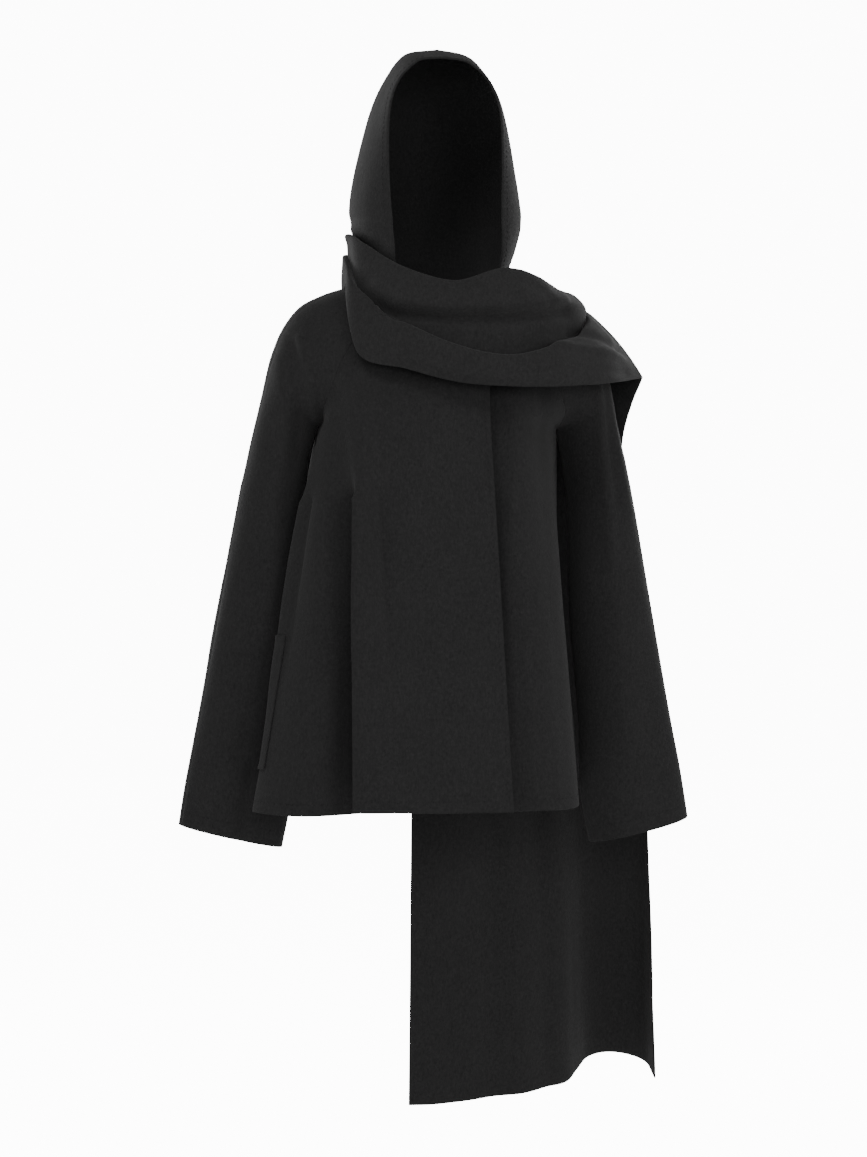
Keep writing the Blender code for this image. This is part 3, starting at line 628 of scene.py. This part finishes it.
# Over the shoulder and down the back, in one sheet, from where the winding ends
def hangingScarf(share, v):
    over = min(v / scarfCut["shoulderPart"], 1.0)
    point = bowedScarf(share, over)
    if over < scarfCut["startPart"]:
        apart = woundScarf(share, 1) - bowedScarf(share, 0)
        point += apart * (1 - ease(over / scarfCut["startPart"]))
    if v <= scarfCut["shoulderPart"]:
        return point
    down = (v - scarfCut["shoulderPart"]) / (1 - scarfCut["shoulderPart"])
    hem = readTable(tailFolds, "share", share)
    return point.lerp(Vector((hem["x"], hem["y"], hem["z"])) * mm, down)


# A stretch of the whole scarf: up to 1 it is wound, and from 1 to 2 it hangs
def scarfStretch(firstShare, lastShare, firstV, lastV):
    def at(u, v):
        share = blend(firstShare, lastShare, min(1.0, max(0.0, u)))
        along = blend(firstV, lastV, v)
        if along <= 1:
            return woundScarf(share, max(along, 0.0))
        return hangingScarf(share, min(along - 1, 1.0))
    return at


# A trough or ridge along x and z, in metres
def crease(wide, high, *line):
    return {"line": line, "wide": wide, "high": high}


# Soft troughs and ridges, placed from the front view
drapes = {
    "leftSleeve": [
        crease(0.009, 0.0035, (0.197, -0.120), (0.204, -0.205), (0.211, -0.271), (0.216, -0.350)),
        crease(0.008, -0.0030, (0.204, -0.128), (0.212, -0.205), (0.222, -0.270)),
        crease(0.009, 0.0030, (0.211, -0.128), (0.224, -0.205), (0.240, -0.285)),
        crease(0.007, -0.0025, (0.228, -0.128), (0.233, -0.172), (0.240, -0.200)),
        crease(0.007, -0.0030, (0.189, -0.600), (0.200, -0.640), (0.216, -0.690)),
        crease(0.016, -0.0022, (0.262, -0.430), (0.270, -0.540), (0.280, -0.640)),
        crease(0.014, 0.0018, (0.222, -0.400), (0.232, -0.520), (0.240, -0.600)),
    ],
    "rightSleeve": [
        crease(0.007, 0.0040, (-0.173, -0.077), (-0.167, -0.104), (-0.160, -0.138), (-0.156, -0.164)),
        crease(0.008, -0.0032, (-0.182, -0.085), (-0.177, -0.120), (-0.172, -0.165), (-0.176, -0.220)),
        crease(0.010, 0.0026, (-0.196, -0.100), (-0.192, -0.160), (-0.196, -0.240), (-0.206, -0.330)),
        crease(0.014, -0.0022, (-0.218, -0.330), (-0.228, -0.450), (-0.244, -0.580)),
        crease(0.015, 0.0020, (-0.250, -0.380), (-0.268, -0.500), (-0.286, -0.640)),
        crease(0.008, -0.0024, (-0.230, -0.600), (-0.238, -0.650), (-0.246, -0.700)),
    ],
    "rightFront": [
        crease(0.012, -0.0030, (-0.128, -0.150), (-0.133, -0.230), (-0.142, -0.330), (-0.152, -0.470)),
        crease(0.013, 0.0022, (-0.113, -0.160), (-0.118, -0.280), (-0.128, -0.420), (-0.140, -0.560)),
        crease(0.030, -0.0020, (-0.030, -0.260), (-0.036, -0.400), (-0.042, -0.600)),
        crease(0.024, 0.0016, (0.020, -0.300), (0.026, -0.450), (0.034, -0.620)),
        crease(0.009, 0.0022, (-0.085, -0.105), (-0.100, -0.130), (-0.122, -0.148)),
    ],
    "leftFront": [
        crease(0.007, -0.0035,
               (0.046, -0.138), (0.052, -0.239), (0.054, -0.345), (0.061, -0.485),
               (0.071, -0.635)),
        crease(0.016, 0.0026, (0.080, -0.150), (0.083, -0.300), (0.090, -0.450), (0.100, -0.630)),
        crease(0.010, -0.0022, (0.064, -0.160), (0.066, -0.300), (0.072, -0.450), (0.080, -0.630)),
        crease(0.012, -0.0026, (0.118, -0.140), (0.118, -0.250), (0.124, -0.400), (0.136, -0.620)),
    ],
    "back": [
        crease(0.018, -0.0030, (-0.100, -0.130), (-0.112, -0.300), (-0.130, -0.600)),
        crease(0.020, 0.0026, (-0.040, -0.150), (-0.044, -0.330), (-0.052, -0.620)),
        crease(0.020, -0.0024, (0.040, -0.150), (0.044, -0.330), (0.052, -0.620)),
        crease(0.018, 0.0030, (0.100, -0.130), (0.112, -0.300), (0.130, -0.600)),
        crease(0.010, 0.0026, (-0.125, -0.110), (-0.105, -0.140), (-0.080, -0.150)),
        crease(0.010, 0.0026, (0.125, -0.110), (0.105, -0.140), (0.080, -0.150)),
    ],
    "scarf": [
        crease(0.007, -0.0060,
               (-0.084, -0.046), (-0.068, -0.054), (-0.010, -0.061), (0.060, -0.060),
               (0.106, -0.052), (0.145, -0.043)),
        crease(0.008, 0.0040,
               (-0.088, -0.018), (-0.064, -0.036), (-0.011, -0.046), (0.060, -0.045),
               (0.106, -0.037), (0.144, -0.028)),
        crease(0.007, -0.0022, (0.094, -0.018), (0.112, -0.026), (0.120, -0.036)),
        crease(0.007, -0.0022,
               (-0.096, -0.060), (-0.050, -0.100), (0.010, -0.118), (0.080, -0.122),
               (0.160, -0.118), (0.230, -0.112)),
        crease(0.006, 0.0028, (0.120, -0.086), (0.160, -0.090), (0.205, -0.090), (0.240, -0.098)),
        crease(0.006, -0.0032, (0.150, -0.070), (0.185, -0.072), (0.220, -0.082)),
        crease(0.006, 0.0016, (0.196, -0.052), (0.208, -0.064), (0.215, -0.080)),
        crease(0.005, -0.0016, (0.208, -0.050), (0.222, -0.064), (0.230, -0.080)),
    ],
    "tail": [
        crease(0.020, 0.0040, (0.060, -0.300), (0.090, -0.600), (0.100, -0.850), (0.106, -1.080)),
        crease(0.018, -0.0040, (0.100, -0.300), (0.120, -0.600), (0.142, -0.850), (0.150, -1.080)),
        crease(0.016, 0.0040, (0.130, -0.300), (0.160, -0.600), (0.180, -0.850), (0.190, -1.080)),
        crease(0.024, -0.0028, (0.020, -0.400), (0.026, -0.700), (0.020, -1.080)),
    ],
    "hood": [],
}

# The whole coat's cloth lies a little unevenly
unevenness = {
    "broad": 1.5 * mm,
    "broadSize": 0.085,
    "broadUpright": 0.55,  # under 1, longer downwards than across
    "small": 0.45 * mm,
    "smallSize": 0.028,
    "smallUpright": 0.6,
    "smallAside": (7, 3, 1),  # keeps the small one from repeating the broad one
}
clothFinish = {
    "wall": 2.3 * mm,
    "reach": 3,  # widths that a crease is felt over
    "fade": 0.06,  # share of the sheet over which the relief fades at a seam
    "smoothing": 0.5,
    "rim": 0.8 * mm,
    "rimSteps": 2,
    "rimAngle": 62,
    "measures": 8,  # steps in which a sheet's length is measured for its UV map
}


def distanceTo(line, x, z):
    best = 1.0
    for (ax, az), (bx, bz) in zip(line, line[1:]):
        dx, dz = bx - ax, bz - az
        t = min(1.0, max(0.0, ((x - ax) * dx + (z - az) * dz) / (dx * dx + dz * dz)))
        best = min(best, math.hypot(x - ax - t * dx, z - az - t * dz))
    return best


def drapeAt(creases, point):
    lift = 0.0
    for crease in creases:
        gap = distanceTo(crease["line"], point.x, point.z) / crease["wide"]
        if gap < clothFinish["reach"]:
            lift += crease["high"] * math.exp(-gap * gap)
    p = point / unevenness["broadSize"]
    lift += unevenness["broad"] * noise.noise(Vector((p.x, p.y, p.z * unevenness["broadUpright"])))
    p = point / unevenness["smallSize"]
    small = Vector((p.x, p.y, p.z * unevenness["smallUpright"])) + Vector(unevenness["smallAside"])
    lift += unevenness["small"] * noise.noise(small)
    return lift


sheets = {}  # each finished outer sheet, for what is sewn on it


# One sheet of cloth over a surface, with its creases and a wall inwards. grid is how many
# squares it has across and down, and out is -1 where the surface runs the other way.
def clothPiece(name, surface, grid, out, creases, wool,
               wall=clothFinish["wall"], soften=None, fadeEdges=(1, 1, 1, 1)):
    cloth = bmesh.new()
    bmesh.ops.create_grid(cloth, x_segments=grid[0], y_segments=grid[1], size=0.5)
    steps = clothFinish["measures"]
    wide = sum((surface((i + 1) / steps, 0.5) - surface(i / steps, 0.5)).length for i in range(steps))
    long = sum((surface(0.5, (i + 1) / steps) - surface(0.5, i / steps)).length for i in range(steps))
    uv = cloth.loops.layers.uv.new("cloth")
    for face in cloth.faces:
        for loop in face.loops:
            loop[uv].uv = ((loop.vert.co.x + 0.5) * wide, (loop.vert.co.y + 0.5) * long)
    flat = {}  # each point's place on the flat sheet
    for vert in cloth.verts:
        u, v = vert.co.x + 0.5, vert.co.y + 0.5
        flat[vert] = (u, v)
        vert.co = surface(min(max(u, 0), 1), min(max(v, 0), 1))
    if out < 0:
        bmesh.ops.reverse_faces(cloth, faces=cloth.faces)
    if soften:
        low, high, times = soften
        inside = [v for v in cloth.verts if low < v.co.z < high and not v.is_boundary]
        for _ in range(times):
            bmesh.ops.smooth_vert(
                cloth, verts=inside, factor=clothFinish["smoothing"],
                use_axis_x=True, use_axis_y=True, use_axis_z=True)
    cloth.normal_update()
    for vert in cloth.verts:
        u, v = flat[vert]
        fade = 1.0
        for keep, near in zip(fadeEdges, (u, 1 - u, v, 1 - v)):
            if keep:
                fade *= ease(near / clothFinish["fade"])
        vert.co += vert.normal * drapeAt(creases, vert.co) * fade
    cloth.normal_update()
    sheets[name] = BVHTree.FromBMesh(cloth)
    mesh = bpy.data.meshes.new(name + "_cloth")
    cloth.to_mesh(mesh)
    cloth.free()
    mesh.shade_smooth()
    piece = bpy.data.objects.new(name + "_cloth", mesh)
    bpy.context.scene.collection.objects.link(piece)
    thick = piece.modifiers.new("wall", "SOLIDIFY")
    thick.thickness = wall
    thick.offset = -1
    rim = piece.modifiers.new("softEdge", "BEVEL")
    rim.width = clothFinish["rim"]
    rim.segments = clothFinish["rimSteps"]
    rim.limit_method = "ANGLE"
    rim.angle_limit = math.radians(clothFinish["rimAngle"])
    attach(piece, "root")
    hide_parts(name)
    piece.data.materials.append(wool)
    print("made", name)


# Short felted fibres: single ones, clumps and faint clouds
napCut = {
    "combed": 0.32,  # fibres lie mostly downwards
    "fibre": {"weight": 0.60, "Detail": 6.0, "Roughness": 0.72, "Distortion": 0.6},
    "clump": {"weight": 0.30, "Scale": 240.0, "Detail": 4.0, "Roughness": 0.6},
    "cloud": {"weight": 0.10, "Scale": 17.0, "Detail": 3.0},
    "spread": (0.30, 0.70),
    "rough": (0.98, 0.86),
}


def napNoise(group, vector, name):
    kind = group.nodes.new("ShaderNodeTexNoise")
    for setting, value in napCut[name].items():
        if setting != "weight":
            kind.inputs[setting].default_value = value
    group.links.new(vector, kind.inputs["Vector"])
    return kind


# Puts out a mottled tone, a height for the nap and a roughness
def makeNapGroup():
    group = bpy.data.node_groups.new("feltedNap", "ShaderNodeTree")
    colour, number = "NodeSocketColor", "NodeSocketFloat"
    asked = {
        "Shade": (colour, (0.010, 0.010, 0.010, 1)),
        "Light": (colour, (0.02, 0.02, 0.02, 1)),
        "Fibre": (number, 520.0),
    }
    for label, (kind, value) in asked.items():
        group.interface.new_socket(label, in_out="INPUT", socket_type=kind).default_value = value
    for label, kind in {"Tone": colour, "Height": number, "Rough": number}.items():
        group.interface.new_socket(label, in_out="OUTPUT", socket_type=kind)
    nodes, links = group.nodes, group.links
    given, result = nodes.new("NodeGroupInput"), nodes.new("NodeGroupOutput")
    onPiece = nodes.new("ShaderNodeTexCoord").outputs["Object"]
    combed = nodes.new("ShaderNodeMapping")
    combed.inputs["Scale"].default_value = (1.0, 1.0, napCut["combed"])
    links.new(onPiece, combed.inputs["Vector"])
    fibre = napNoise(group, combed.outputs["Vector"], "fibre")
    links.new(given.outputs["Fibre"], fibre.inputs["Scale"])
    clump = napNoise(group, onPiece, "clump")
    cloud = napNoise(group, onPiece, "cloud")
    height = None
    for name, kind in (("cloud", cloud), ("clump", clump), ("fibre", fibre)):
        weighed = nodes.new("ShaderNodeMath")
        weighed.operation = "MULTIPLY_ADD"
        weighed.inputs[1].default_value = napCut[name]["weight"]
        weighed.inputs[2].default_value = 0.0
        links.new(kind.outputs["Fac"], weighed.inputs[0])
        if height:
            links.new(height, weighed.inputs[2])
        height = weighed.outputs[0]
    spread = nodes.new("ShaderNodeMapRange")
    spread.inputs["From Min"].default_value, spread.inputs["From Max"].default_value = napCut["spread"]
    links.new(height, spread.inputs["Value"])
    tone = nodes.new("ShaderNodeMix")
    tone.data_type = "RGBA"
    links.new(spread.outputs["Result"], tone.inputs["Factor"])
    links.new(given.outputs["Shade"], tone.inputs["A"])
    links.new(given.outputs["Light"], tone.inputs["B"])
    rough = nodes.new("ShaderNodeMapRange")
    rough.inputs["To Min"].default_value, rough.inputs["To Max"].default_value = napCut["rough"]
    links.new(clump.outputs["Fac"], rough.inputs["Value"])
    links.new(tone.outputs["Result"], result.inputs["Tone"])
    links.new(height, result.inputs["Height"])
    links.new(rough.outputs["Result"], result.inputs["Rough"])
    return group


woolFinish = {"specular": 0.22, "sheenRoughness": 0.55, "napHeight": 0.0016}
woolLooks = {
    "coatWool": {
        "shade": (0.0069, 0.0069, 0.0071, 1), "light": (0.0203, 0.0200, 0.0202, 1),
        "fibre": 520.0, "sheen": 0.045, "nap": 0.5,
    },
    "scarfWool": {
        "shade": (0.0072, 0.0071, 0.0073, 1), "light": (0.0222, 0.0219, 0.0220, 1),
        "fibre": 470.0, "sheen": 0.055, "nap": 0.6,
    },
    "thread": {
        "shade": (0.0060, 0.0060, 0.0062, 1), "light": (0.0120, 0.0118, 0.0120, 1),
        "fibre": 1500.0, "sheen": 0.03, "nap": 0.25,
    },
}
napGroup = makeNapGroup()


def woolMaterial(name):
    look = woolLooks[name]
    wool = bpy.data.materials.new(name)
    wool.use_nodes = True
    nodes, links = wool.node_tree.nodes, wool.node_tree.links
    shader = nodes["Principled BSDF"]
    shader.inputs["Specular IOR Level"].default_value = woolFinish["specular"]
    shader.inputs["Sheen Weight"].default_value = look["sheen"]
    shader.inputs["Sheen Roughness"].default_value = woolFinish["sheenRoughness"]
    nap = nodes.new("ShaderNodeGroup")
    nap.node_tree = napGroup
    nap.inputs["Shade"].default_value = look["shade"]
    nap.inputs["Light"].default_value = look["light"]
    nap.inputs["Fibre"].default_value = look["fibre"]
    bump = nodes.new("ShaderNodeBump")
    bump.inputs["Strength"].default_value = look["nap"]
    bump.inputs["Distance"].default_value = woolFinish["napHeight"]
    links.new(nap.outputs["Tone"], shader.inputs["Base Color"])
    links.new(nap.outputs["Rough"], shader.inputs["Roughness"])
    links.new(nap.outputs["Height"], bump.inputs["Height"])
    links.new(bump.outputs["Normal"], shader.inputs["Normal"])
    return wool


coatWool, scarfWool, threadWool = [woolMaterial(name) for name in woolLooks]

# Squares across and down, and the relief's fade at the left, right, upper and lower edges
panels = [
    ("front_right", rightFront, (100, 150), -1, "rightFront", (1, 0, 1, 0)),
    ("front_left", leftFront, (64, 150), 1, "leftFront", (1, 0, 1, 0)),
    ("back", back, (110, 150), 1, "back", (1, 1, 1, 0)),
]
smoothed = {"panel": (-0.27, -0.085, 60), "sleeve": (-0.25, -0.09, 30)}  # from, to and how many times
for name, surface, grid, out, drape, fade in panels:
    clothPiece(name, lambda u, v: surface(u, bodyRows(v)), grid, out, drapes[drape], coatWool,
               soften=smoothed["panel"], fadeEdges=fade)

pairs = {
    "sleeve_front": {"grid": (44, 170), "fade": (1, 1, 1, 0)},
    "sleeve_back": {"grid": (50, 170), "fade": (1, 1, 1, 0)},
    "hood": {"grid": (70, 90), "fade": (0, 1, 1, 1)},
}
for side, word in ((1, "left"), (-1, "right")):
    sleeveHalves = (("sleeve_front", sleeveFront(side), side), ("sleeve_back", sleeveBack(side), -side))
    for half, surface, out in sleeveHalves:
        clothPiece(half + "_" + word, lambda u, v: surface(u, armRows(v)), pairs[half]["grid"], out,
                   drapes[word + "Sleeve"], coatWool, soften=smoothed["sleeve"],
                   fadeEdges=pairs[half]["fade"])
    clothPiece("hood_" + word, hoodHalf(side), pairs["hood"]["grid"], side, drapes["hood"], coatWool,
               fadeEdges=pairs["hood"]["fade"])

# The scarf is one long cloth in four stretches, each with its shares across and along
stretches = [
    ("scarf_upper", (0, 0.5, 0, 1), (60, 150), (1, 0, 0, 1), "scarf"),
    ("scarf_lower", (0.5, 1, 0, 1), (60, 150), (1, 0, 0, 1), "scarf"),
    ("scarf_shoulder", (0, 1, 1, 1 + scarfCut["shoulderPart"]), (120, 60), (0, 0, 1, 1), "scarf"),
    ("scarf_tail", (0, 1, 1 + scarfCut["shoulderPart"], 2), (120, 170), (0, 0, 1, 0), "tail"),
]
for name, stretch, grid, fade, drape in stretches:
    clothPiece(name, scarfStretch(*stretch), grid, 1, drapes[drape], scarfWool,
               wall=scarfCut["wall"], fadeEdges=fade)


# The place along bodyRows where the row number is share
def rowOf(share):
    low, high = 0.0, 1.0
    for _ in range(40):
        middle = (low + high) / 2
        if bodyRows(middle) < share:
            low = middle
        else:
            high = middle
    return low


# Pocket welts, laid on the finished fronts
pocketCut = {
    "top": 0.665,
    "bottom": 0.92,
    "rightShares": (0.115, 0.14, 0.170),
    "leftShares": (0.065, 0.09, 0.115),
    "wall": 1.8 * mm,
    "stand": 0.7 * mm,
    "grid": (10, 80),
}


def weltPiece(name, front, surface, shares, out):
    shareAt = through(shares)
    top, bottom = rowOf(pocketCut["top"]), rowOf(pocketCut["bottom"])

    def at(u, v):
        near = surface(shareAt(u), bodyRows(blend(top, bottom, v)))
        point, normal, _, _ = sheets[front].find_nearest(near)
        return point + normal * (pocketCut["wall"] + pocketCut["stand"])
    clothPiece(name, at, pocketCut["grid"], out, (), coatWool, wall=pocketCut["wall"])


weltPiece("pocket_welt_right", "front_right", rightFront, pocketCut["rightShares"], -1)
weltPiece("pocket_welt_left", "front_left", leftFront, pocketCut["leftShares"], 1)

stitchCut = {
    "long": 3.0 * mm,
    "step": 6.0 * mm,
    "radius": 0.294 * mm,
    "stand": 0.05 * mm,
    "sides": 6,
    "tries": 240,  # places along a row that are tried for the next stitch
    "closure": (0.975, 0.10, 0.982, 0.985),  # each row's ends, across and down the sheet
    "frontHem": (0.02, 0.983, 0.98, 0.983),
    "backHem": (0.01, 0.983, 0.99, 0.983),
    "cuff": (0.02, 0.978, 0.98, 0.978),
    "hood": (0.035, 0.06, 0.035, 0.97),
}


# Short blind stitches along a line on a finished sheet
def stitchRow(name, on, path):
    points = [path(i / stitchCut["tries"]) for i in range(stitchCut["tries"] + 1)]
    thread = bmesh.new()
    since = 0.0
    for a, b in zip(points, points[1:]):
        since += (b - a).length
        if since < stitchCut["step"]:
            continue
        since = 0.0
        point, normal, _, _ = sheets[on].find_nearest(a)
        way = (b - a).normalized()
        side = normal.cross(way).normalized()
        turn = Matrix((side, normal, way)).transposed().to_4x4()
        bmesh.ops.create_cone(
            thread, cap_ends=True, segments=stitchCut["sides"],
            radius1=stitchCut["radius"], radius2=stitchCut["radius"], depth=stitchCut["long"],
            matrix=Matrix.Translation(point + normal * stitchCut["stand"]) @ turn)
    mesh = bpy.data.meshes.new(name)
    thread.to_mesh(mesh)
    thread.free()
    mesh.shade_smooth()
    piece = bpy.data.objects.new(name, mesh)
    bpy.context.scene.collection.objects.link(piece)
    piece.data.materials.append(threadWool)
    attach(piece, "root")


# A straight line across the flat sheet, on its surface
def sheetLine(surface, rows, ends):
    u0, v0, u1, v1 = stitchCut[ends]
    return lambda t: surface(blend(u0, u1, t), rows(blend(v0, v1, t)))


stitchRow("closureStitches", "front_right", sheetLine(rightFront, bodyRows, "closure"))
stitchRow("hemStitchesRight", "front_right", sheetLine(rightFront, bodyRows, "frontHem"))
stitchRow("hemStitchesLeft", "front_left", sheetLine(leftFront, bodyRows, "frontHem"))
stitchRow("hemStitchesBack", "back", sheetLine(back, bodyRows, "backHem"))
for side, word in ((1, "Left"), (-1, "Right")):
    end = "_" + word.lower()
    front, rear = sleeveFront(side), sleeveBack(side)
    stitchRow("cuffStitchesFront" + word, "sleeve_front" + end, sheetLine(front, armRows, "cuff"))
    stitchRow("cuffStitchesBack" + word, "sleeve_back" + end, sheetLine(rear, armRows, "cuff"))
    stitchRow("hoodStitches" + word, "hood" + end, sheetLine(hoodHalf(side), evenRows, "hood"))
print("stitches done")

# The floor and the wall are bright where the camera sees them and dim as light on the cloth
studio = {
    "floor": -1.46,
    "floorSize": 9.0,
    "floorTone": (0.9, 0.9, 0.9, 1),
    "floorRough": 0.9,
    "floorGlow": 12.0,
    "sky": 0.20,
    "seenSky": 12.0,
}

floor = bmesh.new()
bmesh.ops.create_grid(floor, x_segments=1, y_segments=1, size=studio["floorSize"])
floorMesh = bpy.data.meshes.new("studioFloor")
floor.to_mesh(floorMesh)
floor.free()
floorMesh.transform(Matrix.Translation((0, 0, studio["floor"])))
floorPiece = bpy.data.objects.new("studioFloor", floorMesh)
bpy.context.scene.collection.objects.link(floorPiece)
pale = bpy.data.materials.new("paleFloor")
pale.use_nodes = True
paleNodes, paleLinks = pale.node_tree.nodes, pale.node_tree.links
paleShader = paleNodes["Principled BSDF"]
paleShader.inputs["Base Color"].default_value = studio["floorTone"]
paleShader.inputs["Roughness"].default_value = studio["floorRough"]
paleShader.inputs["Emission Color"].default_value = (1, 1, 1, 1)
glow = paleNodes.new("ShaderNodeMath")
glow.operation = "MULTIPLY"
glow.inputs[1].default_value = studio["floorGlow"]
paleLinks.new(paleNodes.new("ShaderNodeLightPath").outputs["Is Camera Ray"], glow.inputs[0])
paleLinks.new(glow.outputs[0], paleShader.inputs["Emission Strength"])
floorMesh.materials.append(pale)

world = bpy.data.worlds.new("studio")
world.use_nodes = True
skyNodes, skyLinks = world.node_tree.nodes, world.node_tree.links
skyNodes["Background"].inputs["Color"].default_value = (1, 1, 1, 1)
strength = skyNodes.new("ShaderNodeMapRange")
strength.inputs["To Min"].default_value = studio["sky"]
strength.inputs["To Max"].default_value = studio["seenSky"]
skyLinks.new(skyNodes.new("ShaderNodeLightPath").outputs["Is Camera Ray"], strength.inputs["Value"])
skyLinks.new(strength.outputs["Result"], skyNodes["Background"].inputs["Strength"])
bpy.context.scene.world = world

# Where each lamp stands, what it is aimed at, its size and its power
lamps = {
    "keyLight": ((-1.1, -1.9, 1.9), (0, 0, -0.3), (0.9, 0.9), 26.0),
    "leftLight": ((-2.4, -0.9, 0.2), (-0.2, 0, -0.4), (1.0, 1.8), 8.5),
    "rightLight": ((2.4, -0.9, 0.2), (0.2, 0, -0.4), (1.0, 1.8), 13.0),
    "frontLight": ((0.9, -2.8, 0.0), (0, 0, -0.2), (1.0, 1.2), 22.0),
    "fillLight": ((-0.45, -3.1, -0.05), (0, 0, -0.1), (0.8, 0.8), 25.0),
    "backLight": ((-1.7, 2.8, 0.7), (0, 0, -0.4), (1.4, 1.8), 52.0),
    "otherBackLight": ((1.9, 2.7, 0.5), (0, 0, -0.4), (1.4, 1.8), 52.0),
}
for name, (stand, aim, size, power) in lamps.items():
    lamp = bpy.data.lights.new(name, "AREA")
    lamp.shape = "RECTANGLE"
    lamp.size, lamp.size_y = size
    lamp.energy = power
    box = bpy.data.objects.new(name, lamp)
    box.location = stand
    box.rotation_euler = (Vector(stand) - Vector(aim)).to_track_quat("Z", "Y").to_euler()
    bpy.context.scene.collection.objects.link(box)

# The view from the front: level, a little to the coat's right
view = {"stand": (-0.365, -2.574, -0.367), "turn": -8, "lens": 64.72, "frame": 36}
camera = bpy.data.cameras.new("photoCamera")
camera.sensor_fit = "VERTICAL"
camera.sensor_height = view["frame"]
camera.lens = view["lens"]
cameraPiece = bpy.data.objects.new("photoCamera", camera)
cameraPiece.location = view["stand"]
cameraPiece.rotation_euler = (math.radians(90), 0, math.radians(view["turn"]))
bpy.context.scene.collection.objects.link(cameraPiece)
bpy.context.scene.camera = cameraPiece

print("scene ready")
